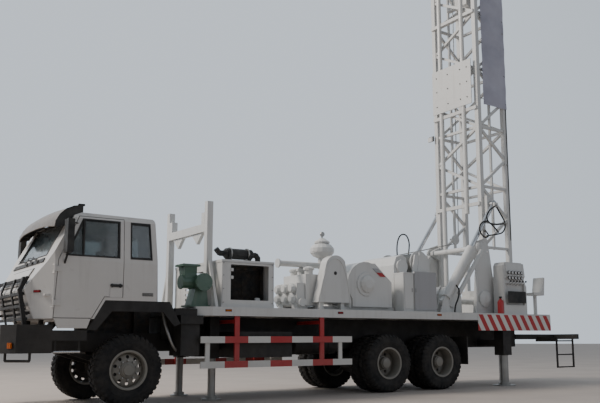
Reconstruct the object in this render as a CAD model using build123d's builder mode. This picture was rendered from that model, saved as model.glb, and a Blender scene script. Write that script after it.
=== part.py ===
# Truck-mounted water well drilling rig.
# Millimetres. The front of the truck is at -X, its left side at -Y, the ground at Z 0,
# and the origin is on the ground under the middle of the whole vehicle.
import os
from math import cos, hypot, pi, sin

from build123d import *

os.makedirs("parts", exist_ok=True)

# Running gear
wheelbase = 5175
tandem_spacing = 1400
front_overhang = 1850
rear_overhang = 4575
tyre_radius = 555
tyre_width = 310
tyre_bore = 290
tyre_shoulder = 45
tyre_sides = 28
round_sides = 20  # a drum or large cover
cover_sides = 12  # a pipe, a pulley or a small cover
front_wheel_y = 1005
outer_twin_y = 1080
twin_spacing = 350
kingpin_y = 800
seat_gap = 0.3

# Frame and deck
rail_y = 390
rail_wide = 80
rail_bottom = 830
rail_top = 1130
deck_bottom = 1410
deck_top = 1560
deck_half = 1240
deck_rim = 60
deck_plate = 12

# Cab
cab_half = 1235
cab_roof_half = 1180
cab_wall = 40
cab_floor = 1620
cab_sill = 1330
belt_line = 2200
roof_top = 2950
door_gap = 10
panel_seam = 0.3
glass_thick = 6

# Mast and its hinge
hinge_behind_axle = 1645
hinge_z = 3050
hinge_tube = 60
pin_gap = 0.5
leg_size = 110
leg_y = 685
front_leg_back = 230
mast_depth = 870
mast_bottom = 1620
mast_top = 13200
brace = 60
lift_y = 900
lift_barrel_radius = 95
lift_rod_radius = 50

# Datum lines along the vehicle
vehicle_length = front_overhang + wheelbase + tandem_spacing + rear_overhang
x_front = -vehicle_length / 2
x_rear = vehicle_length / 2
axle_1 = x_front + front_overhang
axle_2 = axle_1 + wheelbase
axle_3 = axle_2 + tandem_spacing
hinge_x = axle_3 + hinge_behind_axle
deck_front = axle_1 + 1120
deck_rear = axle_3 + 3425
SIDES = (("left", -1), ("right", 1))


def finish(piece, name):
    """Labels a finished piece and writes it."""
    piece.part.label = name
    export_step(piece.part, f"parts/{name}.step")


def block(x, y, z, mode=Mode.ADD):
    """A box between two X, two Y and two Z limits, each given as a pair."""
    centre = ((x[0] + x[1]) / 2, (y[0] + y[1]) / 2, (z[0] + z[1]) / 2)
    with Locations(centre):
        Box(abs(x[1] - x[0]), abs(y[1] - y[0]), abs(z[1] - z[0]), mode=mode)


def across(outline, y0, y1, mode=Mode.ADD):
    """An X, Z outline carried across the vehicle from one Y to the other."""
    low, high = min(y0, y1), max(y0, y1)
    with BuildSketch(Plane.XZ.offset(-high)) as profile:
        Polygon(*outline, align=None)
    extrude(profile.sketch, amount=high - low, mode=mode)


def along(outline, x0, x1, mode=Mode.ADD):
    """A Y, Z outline carried along the vehicle from one X to the other."""
    with BuildSketch(Plane.YZ.offset(x0)) as profile:
        Polygon(*outline, align=None)
    extrude(profile.sketch, amount=x1 - x0, mode=mode)


def upward(outline, z0, z1, mode=Mode.ADD):
    """An X, Y outline carried upward from one Z to the other."""
    with BuildSketch(Plane.XY.offset(z0)) as profile:
        Polygon(*outline, align=None)
    extrude(profile.sketch, amount=z1 - z0, mode=mode)


def rod(start, end, radius, mode=Mode.ADD, sides=0):
    """A round bar from one point to another, flat-sided where a number of sides is given."""
    run = Vector(*end) - Vector(*start)
    with BuildSketch(Plane(origin=start, z_dir=run)) as profile:
        if sides:
            RegularPolygon(radius, sides, major_radius=False)
        else:
            Circle(radius)
    extrude(profile.sketch, amount=run.length, mode=mode)


def bar(start, end, wide, deep, side=(0, 1, 0)):
    """A box-section member from one point to another, its width along the side given."""
    run = Vector(*end) - Vector(*start)
    with BuildSketch(Plane(origin=start, x_dir=side, z_dir=run)) as profile:
        Rectangle(wide, deep)
    extrude(profile.sketch, amount=run.length)


def turned(plane, sections, sides, mode=Mode.ADD):
    """A flat-sided turning through (distance along the plane's normal, radius) sections.

    Every flat is a plane of its own, so it stays two triangles wherever other solids cut it.
    """
    rings = []
    for distance, radius in sections:
        corner = radius / cos(pi / sides)
        angles = [2 * pi * (step + 0.5) / sides for step in range(sides)]
        rings.append([plane.from_local_coords((corner * cos(a), corner * sin(a), distance)) for a in angles])
    flats = [Face(Wire.make_polygon(rings[0])), Face(Wire.make_polygon(rings[-1]))]
    for near, far in zip(rings, rings[1:]):
        for step in range(sides):
            after = (step + 1) % sides
            flats.append(Face(Wire.make_polygon((near[step], near[after], far[after], far[step]))))
    add(Solid(Shell(flats)), mode=mode)


def wheel_plane(x, y, outward):
    """The plane of a wheel, its normal pointing away from the vehicle."""
    return Plane(origin=(x, y, tyre_radius), x_dir=(1, 0, 0), z_dir=(0, outward, 0))


# Tyres and rims
def add_tyre(plane):
    """One tyre: shoulders fall away from a flat tread, and the bore seats on its rim."""
    half = tyre_width / 2
    wall = tyre_radius - tyre_shoulder
    turned(plane, ((-half, wall), (-half * 0.72, tyre_radius), (half * 0.72, tyre_radius), (half, wall)),
           tyre_sides)
    turned(plane, ((-half, tyre_bore), (half, tyre_bore)), tyre_sides, Mode.SUBTRACT)


rim_radius = tyre_bore - seat_gap
rim_half = 125
rim_wall = 26
disc_thick = 22
hub_radius = 105
front_hub_out = 150
rear_hub_out = 60
hand_hole = 24
hand_hole_ring = 212

for side, out in SIDES:
    plane = wheel_plane(axle_1, out * front_wheel_y, out)
    with BuildPart() as tyre:
        add_tyre(plane)
    finish(tyre, f"tyre_front_{side}")
    with BuildPart() as rim:
        turned(plane, ((-rim_half, rim_radius), (rim_half, rim_radius)), tyre_sides)
        turned(plane, ((60, rim_radius - rim_wall), (rim_half, rim_radius - rim_wall)), tyre_sides,
               Mode.SUBTRACT)
        turned(plane, ((-rim_half, rim_radius - rim_wall), (60 - disc_thick, rim_radius - rim_wall)),
               tyre_sides, Mode.SUBTRACT)
        turned(plane, ((60, 165), (95, 120), (105, hub_radius), (front_hub_out, 98)), 16)
        with BuildSketch(plane.offset(60 - disc_thick)) as holes:
            with PolarLocations(hand_hole_ring, 10):
                RegularPolygon(hand_hole, 6)
        extrude(holes.sketch, amount=disc_thick, mode=Mode.SUBTRACT)
    finish(rim, f"rim_front_{side}")

for row, axle in ((1, axle_2), (2, axle_3)):
    for side, out in SIDES:
        outer = wheel_plane(axle, out * outer_twin_y, out)
        inner = wheel_plane(axle, out * (outer_twin_y - twin_spacing), out)
        with BuildPart() as tyres:
            add_tyre(outer)
            add_tyre(inner)
        finish(tyres, f"tyres_rear_{row}_{side}")
        web = twin_spacing / 2
        with BuildPart() as rims:
            turned(outer, ((-twin_spacing - rim_half, rim_radius), (rim_half, rim_radius)), tyre_sides)
            turned(outer, ((-web + disc_thick, rim_radius - rim_wall), (rim_half, rim_radius - rim_wall)),
                   tyre_sides, Mode.SUBTRACT)
            turned(outer, ((-twin_spacing - rim_half, rim_radius - rim_wall),
                           (-web - disc_thick, rim_radius - rim_wall)), tyre_sides, Mode.SUBTRACT)
            turned(outer, ((-web + disc_thick, hub_radius + 15), (-20, hub_radius), (rear_hub_out, 80)),
                   16)
        finish(rims, f"rims_rear_{row}_{side}")

# Steering knuckles: a drum on the kingpin boss of the front axle
drum_radius = 190
boss_radius = 60
boss_half_height = 60
knuckle_fork = 30
for side, out in SIDES:
    plane = wheel_plane(axle_1, out * front_wheel_y, out)
    drum_in = front_wheel_y - kingpin_y - 85
    with BuildPart() as knuckle:
        turned(plane, ((-drum_in, drum_radius), (60 - disc_thick - seat_gap, drum_radius)), round_sides)
        for z0 in (tyre_radius + boss_half_height + pin_gap,
                   tyre_radius - boss_half_height - pin_gap - knuckle_fork):
            block((axle_1 - boss_radius, axle_1 + boss_radius),
                  (out * kingpin_y, out * (front_wheel_y - drum_in + 10)), (z0, z0 + knuckle_fork))
            rod((axle_1, out * kingpin_y, z0), (axle_1, out * kingpin_y, z0 + knuckle_fork), boss_radius)
    finish(knuckle, f"knuckle_{side}")

# Axle beams on their leaf springs
axle_radius = 75
spring_y = rail_y
spring_wide = 80
spring_half = 720
leaf_bottom = tyre_radius + axle_radius - 5
diff_radius = 210
with BuildPart() as axles:
    beam_end = kingpin_y - boss_radius - 5
    along(((-kingpin_y + 20, tyre_radius - boss_half_height), (-beam_end, tyre_radius - boss_half_height),
           (-beam_end + 100, tyre_radius - 160), (beam_end - 100, tyre_radius - 160),
           (beam_end, tyre_radius - boss_half_height), (kingpin_y - 20, tyre_radius - boss_half_height),
           (kingpin_y - 20, tyre_radius + boss_half_height), (beam_end, tyre_radius + boss_half_height),
           (beam_end - 150, tyre_radius - 40), (-beam_end + 150, tyre_radius - 40),
           (-beam_end, tyre_radius + boss_half_height), (-kingpin_y + 20, tyre_radius + boss_half_height)),
          axle_1 - boss_radius + 10, axle_1 + boss_radius - 10)
    for out in (-1, 1):
        with BuildSketch(Plane.XY.offset(tyre_radius - boss_half_height)):
            with Locations((axle_1, out * kingpin_y)):
                Circle(boss_radius)
        extrude(amount=2 * boss_half_height)
        block((axle_1 - boss_radius, axle_1 + boss_radius), (out * (spring_y - 45), out * (spring_y + 45)),
              (tyre_radius - 100, leaf_bottom + 5))
        across(((axle_1 - spring_half, rail_bottom - 30), (axle_1 - 300, leaf_bottom + 40),
                (axle_1 - 120, leaf_bottom), (axle_1 + 120, leaf_bottom), (axle_1 + 300, leaf_bottom + 40),
                (axle_1 + spring_half, rail_bottom - 30), (axle_1 + spring_half, rail_bottom),
                (axle_1, leaf_bottom + 130), (axle_1 - spring_half, rail_bottom)),
               out * (spring_y - spring_wide / 2), out * (spring_y + spring_wide / 2))
        middle = (axle_2 + axle_3) / 2
        across(((axle_2 - 100, leaf_bottom), (axle_2 + 100, leaf_bottom), (middle - 150, rail_bottom - 60),
                (middle + 150, rail_bottom - 60), (axle_3 - 100, leaf_bottom), (axle_3 + 100, leaf_bottom),
                (axle_3 + 100, leaf_bottom + 60), (middle + 150, rail_bottom), (middle - 150, rail_bottom),
                (axle_2 - 100, leaf_bottom + 60)),
               out * (spring_y - spring_wide / 2), out * (spring_y + spring_wide / 2))
    drum_face = outer_twin_y - twin_spacing / 2 - disc_thick - seat_gap
    for axle in (axle_2, axle_3):
        rod((axle, -drum_face, tyre_radius), (axle, drum_face, tyre_radius), axle_radius, sides=12)
        for out in (-1, 1):
            rod((axle, out * (drum_face - 260), tyre_radius), (axle, out * drum_face, tyre_radius), drum_radius,
                sides=round_sides)
        with BuildSketch(Plane.XZ.offset(-150)):
            with Locations((axle, tyre_radius)):
                RegularPolygon(diff_radius, 12)
        extrude(amount=300)
    rod((axle_2 - 100, 0, tyre_radius + 20), (axle_3 + 50, 0, tyre_radius + 20), 45, sides=8)
finish(axles, "axles_and_springs")

# Chassis frame: two channel rails and their cross members
rail_wall = 12
cross_wide = 120
frame_front = axle_1 - 1500
frame_rear = deck_rear - 300
web_in = rail_y + rail_wide / 2 - rail_wall
arch_top = 1615
cab_back_floor = arch_top
arch_foot_x = axle_1 - 440 - (arch_top - cab_sill) * 185 / 325
with BuildPart() as frame:
    for out in (-1, 1):
        outer_y = out * (rail_y + rail_wide / 2)
        inner_y = out * (rail_y - rail_wide / 2)
        along(((outer_y, rail_bottom), (outer_y, rail_top), (inner_y, rail_top),
               (inner_y, rail_top - rail_wall), (outer_y - out * rail_wall, rail_top - rail_wall),
               (outer_y - out * rail_wall, rail_bottom + rail_wall), (inner_y, rail_bottom + rail_wall),
               (inner_y, rail_bottom)), frame_front, frame_rear)
        block((deck_front + 100, frame_rear),
              (out * (rail_y - rail_wide / 2), out * (rail_y + rail_wide / 2)), (rail_top, deck_bottom))
    for place in (frame_front, axle_1 + 1300, axle_2 - 1700, axle_2 - 750, middle - 60, axle_3 + 750,
                  frame_rear - cross_wide):
        block((place, place + cross_wide), (-web_in, web_in), (rail_bottom + 60, rail_top - 60))
    for out in (-1, 1):
        block((axle_1 + 330, axle_1 + 390), (out * (rail_y - 30), out * (rail_y + 30)), (rail_top, cab_back_floor))
        block((axle_1 - 1180, axle_1 - 1120), (out * (rail_y - 30), out * (rail_y + 30)), (rail_top, cab_sill))
finish(frame, "chassis_frame")

# Truck engine: one plain block between the rails, under the cab floor
with BuildPart() as engine:
    block((axle_1 - 420, axle_1 + 640), (-rail_y + rail_wide / 2 + 20, rail_y - rail_wide / 2 - 20),
          (rail_bottom - 60, cab_floor - 60))
    for out in (-1, 1):
        block((axle_1 - 250, axle_1 - 150), (out * (rail_y - rail_wide / 2 - 21), out * web_in),
              (rail_bottom + 80, rail_bottom + 160))
finish(engine, "truck_engine")

# Cab: the shell is the room left between an outer and an inner form
nose_x = axle_1 - 1560
cab_rear = axle_1 + 420
front_half = 960


def add_cab_form(inset, mode=Mode.ADD):
    """The closed outline of the cab, moved inward by an inset."""
    side = ((axle_1 - 1420, cab_sill), (nose_x, 1760), (axle_1 - 1300, 2170), (axle_1 - 930, 2900),
            (axle_1 - 820, roof_top), (axle_1 + 318, roof_top - 15), (axle_1 + 345, 2900), (cab_rear, 1650),
            (cab_rear, cab_back_floor), (axle_1 - 440, cab_back_floor), (arch_foot_x, cab_sill))
    plan = ((nose_x - 100, -front_half), (nose_x + 100, -front_half), (axle_1 - 1215, -cab_half),
            (cab_rear - 40, -cab_half), (cab_rear + 10, -cab_half + 60), (cab_rear + 10, cab_half - 60),
            (cab_rear - 40, cab_half), (axle_1 - 1215, cab_half), (nose_x + 100, front_half),
            (nose_x - 100, front_half))
    section = ((-cab_half, cab_sill - 50), (cab_half, cab_sill - 50), (cab_half, belt_line),
               (cab_roof_half, roof_top - 90), (cab_roof_half - 60, roof_top + 1),
               (-cab_roof_half + 60, roof_top + 1), (-cab_roof_half, roof_top - 90), (-cab_half, belt_line))
    with BuildPart(mode=Mode.PRIVATE) as form:
        with BuildSketch(Plane.XZ.offset(-cab_half - 50)):
            Polygon(*side, align=None)
            if inset:
                offset(amount=-inset, kind=Kind.INTERSECTION, mode=Mode.REPLACE)
        extrude(amount=2 * cab_half + 100)
        with BuildSketch(Plane.XY.offset(cab_sill - 100)):
            Polygon(*plan, align=None)
            if inset:
                offset(amount=-inset, kind=Kind.INTERSECTION, mode=Mode.REPLACE)
        extrude(amount=roof_top - cab_sill + 200, mode=Mode.INTERSECT)
        with BuildSketch(Plane.YZ.offset(nose_x - 200)):
            Polygon(*section, align=None)
            if inset:
                offset(amount=-inset, kind=Kind.INTERSECTION, mode=Mode.REPLACE)
        extrude(amount=2 * vehicle_length / 5, mode=Mode.INTERSECT)
    add(form.part, mode=mode)


side_window = ((axle_1 - 1060, 2270), (axle_1 - 810, 2840), (axle_1 - 240, 2840), (axle_1 - 240, 2270))
quarter_window = ((axle_1 - 60, 2270), (axle_1 - 60, 2840), (axle_1 + 255, 2840), (axle_1 + 290, 2270))
door_top = 2890
door_outline = ((axle_1 - 1210, cab_sill + 4), (axle_1 - 1170, 2200), (axle_1 - 870, door_top),
                (axle_1 - 165, door_top),
                (axle_1 - 165, arch_top + 45), (axle_1 - 455, arch_top + 45), (axle_1 - 640, cab_sill + 4))
door_hinge_x = axle_1 - 1215
door_hinge_y = cab_half + 20
door_hinge_heights = (1560, 2060)
screen = ((-860, 2290), (860, 2290), (800, 2840), (-800, 2840))
rear_screen = ((-500, 2270), (500, 2270), (500, 2700), (-500, 2700))


def cut_windows():
    """Cuts every window opening."""
    for outline in (side_window, quarter_window):
        across(outline, -cab_half - 100, cab_half + 100, Mode.SUBTRACT)
    along(screen, nose_x - 100, axle_1 - 700, Mode.SUBTRACT)
    along(rear_screen, axle_1, axle_1 + 600, Mode.SUBTRACT)


with BuildPart() as cab_raw:
    add_cab_form(0)
    add_cab_form(cab_wall, Mode.SUBTRACT)
    block((axle_1 - 1330, cab_rear - cab_wall + 5), (-cab_half + cab_wall - 5, cab_half - cab_wall + 5),
          (cab_floor + 40, cab_floor + 70))
    cut_windows()

# The shell is the roof, the rear wall, two sides and the front with the floor, joined at seams
rear_seam_x = axle_1 + 300
side_seam_y = 1108
grille_half = 760
grille_slot = 42
grille_heights = (1390, 1465, 1540, 1615, 1690)
skirt_bottom = cab_sill - 140
with BuildPart() as cab:
    add(cab_raw.part)
    for z in grille_heights:
        block((nose_x - 60, nose_x + 200), (-grille_half, grille_half), (z, z + grille_slot), Mode.SUBTRACT)
    for out in (-1, 1):
        across(((axle_1 - 1195, cab_sill + 3), (axle_1 - 1130, skirt_bottom), (axle_1 - 705, skirt_bottom),
                (axle_1 - 655, cab_sill + 3)), out * (cab_half - cab_wall), out * cab_half)
    with BuildSketch(Plane.XZ.offset(-cab_half - 60)):
        Polygon(*door_outline, align=None)
    extrude(amount=60 + cab_half - cab_roof_half + cab_wall + 70, mode=Mode.SUBTRACT)
    with BuildSketch(Plane.XZ.offset(cab_half + 60)):
        Polygon(*door_outline, align=None)
    extrude(amount=-(60 + cab_half - cab_roof_half + cab_wall + 70), mode=Mode.SUBTRACT)
    for out in (-1, 1):
        for z in door_hinge_heights:
            rod((door_hinge_x, out * door_hinge_y, z - 70), (door_hinge_x, out * door_hinge_y, z + 70), 9)
            for z0 in (z - 70, z + 45):
                upward(((door_hinge_x - 30, out * (cab_half - 60)), (door_hinge_x - 2, out * (cab_half - 40)),
                        (door_hinge_x + 9, out * (door_hinge_y - 9)), (door_hinge_x + 9, out * (door_hinge_y + 9)),
                        (door_hinge_x - 12, out * (door_hinge_y + 9))), z0, z0 + 25)
    block((nose_x - 200, cab_rear + 100), (-cab_half - 100, cab_half + 100), (door_top, door_top + panel_seam),
          Mode.SUBTRACT)
    block((rear_seam_x, rear_seam_x + panel_seam), (-cab_half - 100, cab_half + 100), (cab_sill - 200, door_top),
          Mode.SUBTRACT)
    for out in (-1, 1):
        block((nose_x - 200, rear_seam_x), (out * side_seam_y, out * (side_seam_y + panel_seam)),
              (cab_sill - 200, door_top), Mode.SUBTRACT)
finish(cab, "cab_shell")

for side, out in SIDES:
    with BuildPart() as door:
        add(cab_raw.part)
        with BuildSketch(Plane.XZ.offset(-out * (cab_half + 60))):
            Polygon(*door_outline, align=None)
            offset(amount=-door_gap, kind=Kind.INTERSECTION, mode=Mode.REPLACE)
        extrude(amount=out * (60 + cab_half - cab_roof_half + cab_wall), mode=Mode.INTERSECT)
        for z in door_hinge_heights:
            rod((door_hinge_x, out * door_hinge_y, z - 40), (door_hinge_x, out * door_hinge_y, z + 40), 18)
            block((door_hinge_x, door_hinge_x + 110), (out * (cab_half + 5), out * (cab_half + 12)), (z - 40, z + 40))
            block((door_hinge_x + 65, door_hinge_x + 110), (out * (cab_half - 5), out * (cab_half + 6)),
                  (z - 40, z + 40))
            rod((door_hinge_x, out * door_hinge_y, z - 45), (door_hinge_x, out * door_hinge_y, z + 45),
                9 + pin_gap, Mode.SUBTRACT)
    finish(door, f"door_{side}")
    with BuildPart() as pane:
        across(side_window, out * (cab_roof_half - 70), out * (cab_half + 10))
        add_cab_form(14, Mode.INTERSECT)
        add_cab_form(14 + glass_thick, Mode.SUBTRACT)
    finish(pane, f"door_glass_{side}")

with BuildPart() as glass:
    along(screen, nose_x - 100, axle_1 - 700)
    along(rear_screen, axle_1 + 200, axle_1 + 600)
    for out in (-1, 1):
        across(quarter_window, out * (cab_roof_half - 70), out * (cab_half + 10))
    add_cab_form(14, Mode.INTERSECT)
    add_cab_form(14 + glass_thick, Mode.SUBTRACT)
finish(glass, "cab_glass")

# Seats and dashboard stand on the cab floor
floor_z = cab_floor + 70
with BuildPart() as seats:
    for out in (-1, 1):
        across(((axle_1 - 560, floor_z), (axle_1 - 620, floor_z + 180), (axle_1 - 600, floor_z + 300),
                (axle_1 - 100, floor_z + 270), (axle_1 - 10, floor_z + 780), (axle_1 + 100, floor_z + 770),
                (axle_1 + 20, floor_z + 180), (axle_1 - 40, floor_z)), out * 350, out * 850)
        across(((axle_1 + 5, floor_z + 765), (axle_1 + 20, floor_z + 885), (axle_1 + 110, floor_z + 875),
                (axle_1 + 95, floor_z + 765)), out * 480, out * 720)
finish(seats, "cab_seats")

wheel_centre = (axle_1 - 900, -600, floor_z + 640)
with BuildPart() as dash:
    across(((axle_1 - 1220, floor_z), (axle_1 - 1220, floor_z + 480), (axle_1 - 1000, floor_z + 470),
            (axle_1 - 960, floor_z + 330), (axle_1 - 1100, floor_z)), -1100, 1100)
    rod((axle_1 - 1080, -600, floor_z + 400), wheel_centre, 35)
    with BuildSketch(Plane(origin=wheel_centre, z_dir=(180, 0, 240))):
        RegularPolygon(235, 16)
        RegularPolygon(200, 16, mode=Mode.SUBTRACT)
        Rectangle(60, 410)
    extrude(amount=30)
finish(dash, "dashboard")

# Roof visor over the windscreen
visor_half = 1060
visor_top = ((axle_1 - 1690, roof_top - 250), (axle_1 - 1560, roof_top - 95), (axle_1 - 1340, roof_top + 15),
             (axle_1 - 1080, roof_top + 85), (axle_1 - 800, roof_top + 135))
with BuildPart() as visor:
    across(visor_top + ((axle_1 - 790, roof_top), (axle_1 - 830, roof_top), (axle_1 - 850, roof_top + 75),
                        (axle_1 - 1080, roof_top + 40), (axle_1 - 1330, roof_top - 25),
                        (axle_1 - 1530, roof_top - 125), (axle_1 - 1650, roof_top - 265)), -visor_half, visor_half)
    for out in (-1, 1):
        across(visor_top + ((axle_1 - 790, roof_top), (axle_1 - 830, roof_top), (axle_1 - 1000, roof_top - 80),
                            (axle_1 - 1480, roof_top - 200)), out * visor_half, out * (visor_half + 25))
finish(visor, "roof_visor")

# Mirrors on the door's front edge
mirror_x = axle_1 - 1075
mirror_in = 1300
for side, out in SIDES:
    with BuildPart() as mirror:
        block((mirror_x - 45, mirror_x + 45), (out * mirror_in, out * (mirror_in + 180)), (2290, 2790))
        along(((out * cab_half, 2140), (out * (mirror_in + 90), 2291), (out * (mirror_in + 60), 2291),
               (out * cab_half, 2180)), mirror_x - 12, mirror_x + 12)
        upward(((mirror_x - 20, out * (mirror_in + 1)), (mirror_x + 20, out * (mirror_in + 1)),
                (mirror_x + 190, out * 1190), (mirror_x + 160, out * 1190)), 2760, 2775)
    finish(mirror, f"mirror_{side}")

# Front bumper with its lamps, and the guard bars in front of the grille
bumper_bottom = 830
bumper_top = 1240
tow_eye_radius = 22
tow_eye_back = 125
tow_eye_thick = 40
louvre_half = 560
hook_bar_z = 720
step_bar_z = 845
with BuildPart() as bumper:
    upward(((x_front, -950), (x_front, 950), (x_front + 160, 1200), (axle_1 - 1200, 1235),
            (axle_1 - 1200, 1175), (x_front + 200, 1130), (x_front + 80, 920), (x_front + 80, -920),
            (x_front + 200, -1130), (axle_1 - 1200, -1175), (axle_1 - 1200, -1235), (x_front + 160, -1200)),
           bumper_bottom, bumper_top)
    for out in (-1, 1):
        block((axle_1 - 1200, axle_1 - 700), (out * 1175, out * 1235), (1010, 1160))
        block((x_front + 79, frame_front), (out * (rail_y - 40), out * (rail_y + 40)), (900, 1060))
    for z in (900, 980, 1060, 1140):
        block((x_front - 10, x_front + 90), (-louvre_half, louvre_half), (z, z + 36), Mode.SUBTRACT)
    for out in (-1, 1):
        block((x_front - 10, x_front + 45), (out * 640, out * 900), (1010, 1150), Mode.SUBTRACT)
        rod((x_front + 110, out * 820, hook_bar_z), (x_front + 110, out * 820, bumper_bottom + 6), 18, sides=8)
        rod((x_front + 110, out * 820, hook_bar_z), (axle_1 - 1480, out * 1150, hook_bar_z), 18, sides=8)
        rod((axle_1 - 1480, out * 1150, hook_bar_z), (axle_1 - 1480, out * 1150, bumper_bottom + 6), 18, sides=8)
        for x in (axle_1 - 1150, axle_1 - 800):
            rod((x, out * 1205, step_bar_z), (x, out * 1205, 1015), 14, sides=8)
        rod((axle_1 - 1150, out * 1205, step_bar_z), (axle_1 - 800, out * 1205, step_bar_z), 14, sides=8)
    block((x_front + 10, x_front + 175), (-70, 70), (bumper_bottom - tow_eye_thick, bumper_bottom + 1))
    rod((x_front + tow_eye_back, 0, bumper_bottom - 50), (x_front + tow_eye_back, 0, bumper_bottom + 50),
        tow_eye_radius, Mode.SUBTRACT)
finish(bumper, "front_bumper")

guard_half = 900


def nose_line(z):
    """The X of the cab's lower nose at a height."""
    return axle_1 - 1420 - (z - cab_sill) * 140 / 430


with BuildPart() as guard:
    for z in (1330, 1520, 1700, 1920):
        lean = (z - 1330) / 430 * 100 if z < 1760 else 100 - (z - 1760) / 410 * 190
        x = axle_1 - 1500 - lean
        block((x - 20, x + 20), (-guard_half, guard_half), (z - 22, z + 22))
    for out in (-1, 1):
        across(((axle_1 - 1540, 1240), (axle_1 - 1635, 1760), (axle_1 - 1525, 1960), (axle_1 - 1475, 1950),
                (axle_1 - 1575, 1750), (axle_1 - 1480, 1240)), out * (guard_half - 60), out * guard_half)
        for z in (1400, 1680):
            across(((nose_line(z), z), (nose_line(z + 40), z + 40), (nose_line(z + 40) - 60, z + 40),
                    (nose_line(z) - 60, z)), out * (guard_half - 50), out * (guard_half - 10))
finish(guard, "grille_guard")

# Mudguards: front arches under the cab, flaps behind the rear wheels
arch_in = 800
with BuildPart() as mudguards:
    for out in (-1, 1):
        across(((axle_1 - 700, 1165), (axle_1 - 625, 1290), (axle_1 - 440, arch_top), (axle_1 + 610, arch_top),
                (axle_1 + 800, 1270), (axle_1 + 770, 1255), (axle_1 + 590, arch_top - 30),
                (axle_1 - 420, arch_top - 30), (axle_1 - 600, 1275), (axle_1 - 670, 1165)),
               out * arch_in, out * cab_half)
        across(((axle_1 - 700, 1165), (axle_1 - 625, 1290), (axle_1 - 440, arch_top), (axle_1 + 610, arch_top),
                (axle_1 + 800, 1270), (axle_1 + 700, 1225), (axle_1 + 500, 1450), (axle_1 - 330, 1450),
                (axle_1 - 560, 1165)), out * (cab_half - 25), out * cab_half)
        block((axle_3 + 705, axle_3 + 725), (out * 620, out * 1230), (490, 1020))
        block((axle_3 + 700, axle_3 + 740), (out * (rail_y + rail_wide / 2), out * 1230), (1020, 1060))
finish(mudguards, "mudguards")

# Deck: a shallow tray with an edge beam, stiffened from below
deck_chamfer = 250
with BuildPart() as deck:
    upward(((deck_front, -deck_half + 130), (deck_front + deck_chamfer, -deck_half), (deck_rear, -deck_half),
            (deck_rear, deck_half), (deck_front + deck_chamfer, deck_half), (deck_front, deck_half - 130)),
           deck_bottom, deck_top)
    block((deck_front + deck_chamfer, deck_rear - deck_rim), (-deck_half + deck_rim, deck_half - deck_rim),
          (deck_bottom, deck_top - deck_plate), Mode.SUBTRACT)
    bays = 8
    pitch = (deck_rear - deck_front - deck_chamfer) / bays
    for bay in range(1, bays):
        place = deck_front + deck_chamfer + bay * pitch
        block((place - 40, place + 40), (-deck_half + deck_rim, deck_half - deck_rim),
              (deck_bottom, deck_top - deck_plate))
finish(deck, "deck")

# Tanks and boxes under the deck, and the platform behind the cab
with BuildPart() as boxes:
    block((axle_1 + 820, deck_front + 100), (rail_y + rail_wide / 2, 1200), (1270, deck_bottom - 1))
    block((axle_1 + 820, deck_front + 100), (-rail_y - rail_wide / 2, -1200), (1270, deck_bottom - 1))
    block((axle_1 + 730, deck_front - 5), (-1180, 1180), (deck_bottom - 1, deck_bottom + 110))
    for out in (-1, 1):
        block((axle_1 + 850, axle_1 + 1180), (out * 700, out * 1150), (760, 1270))
        block((axle_1 + 1900, axle_1 + 3000), (out * (rail_y + rail_wide / 2), out * 1120), (710, 1150))
        rod((axle_1 + 3200, out * 760, 915), (axle_1 + 4150, out * 760, 915), 170, sides=20)
        for place in (axle_1 + 3300, axle_1 + 3950):
            block((place, place + 60), (out * (rail_y + rail_wide / 2), out * 760), (880, 950))
finish(boxes, "under_deck_boxes")

# Side guards, and the striped panels beside the deck's rear
stripe_front = axle_3 + 1045
stripe_bottom = 1190
with BuildPart() as guards:
    for out in (-1, 1):
        outer, inner = out * deck_half, out * (deck_half - 25)
        for z in (606, 1015):
            block((axle_1 + 1162, axle_1 + 4250), (outer, inner), (z - 55, z + 55))
        for place in (axle_1 + 1845, axle_1 + 3590):
            block((place - 45, place + 45), (inner, out * (deck_half - 60)), (551, deck_bottom))
            block((place - 45, place + 45), (out * (rail_y + rail_wide / 2), out * (deck_half - 60)),
                  (1290, 1350))
        for place in (axle_1 + 1300, axle_1 + 4000):
            block((place - 40, place + 40), (inner, out * (deck_half - 50)), (551, 1070))
        block((stripe_front, deck_rear), (out * deck_half, out * (deck_half + 10)), (stripe_bottom, deck_top - 30))
finish(guards, "side_guards")

# Mast rest portal behind the cab
rest_x = axle_1 + 1475
rest_top = 3020
rest_post = 110
rest_y = leg_y + leg_size / 2 + 10 + rest_post / 2
post_top = 3406
folded_z = hinge_z + front_leg_back - leg_size / 2
with BuildPart() as rest:
    for out in (-1, 1):
        block((rest_x - rest_post / 2, rest_x + rest_post / 2),
              (out * (rest_y - rest_post / 2), out * (rest_y + rest_post / 2)), (deck_top, post_top))
        block((rest_x - rest_post / 2, rest_x + rest_post / 2),
              (out * (leg_y - 60), out * (leg_y + 60)), (rest_top, folded_z - 6))
        along(((out * (rest_y + 50), deck_top + 780), (out * (deck_half - 110), deck_top),
               (out * (deck_half - 60), deck_top), (out * (rest_y + 50), deck_top + 880)), rest_x - 25, rest_x + 25)
    block((rest_x - rest_post / 2, rest_x + rest_post / 2), (-rest_y, rest_y), (rest_top - 140, rest_top))
    for y in (-400, 400):
        along(((y - 220, rest_top - 140), (y, rest_top - 330), (y + 220, rest_top - 140)),
              rest_x - 30, rest_x + 30)
finish(rest, "mast_rest")

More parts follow.
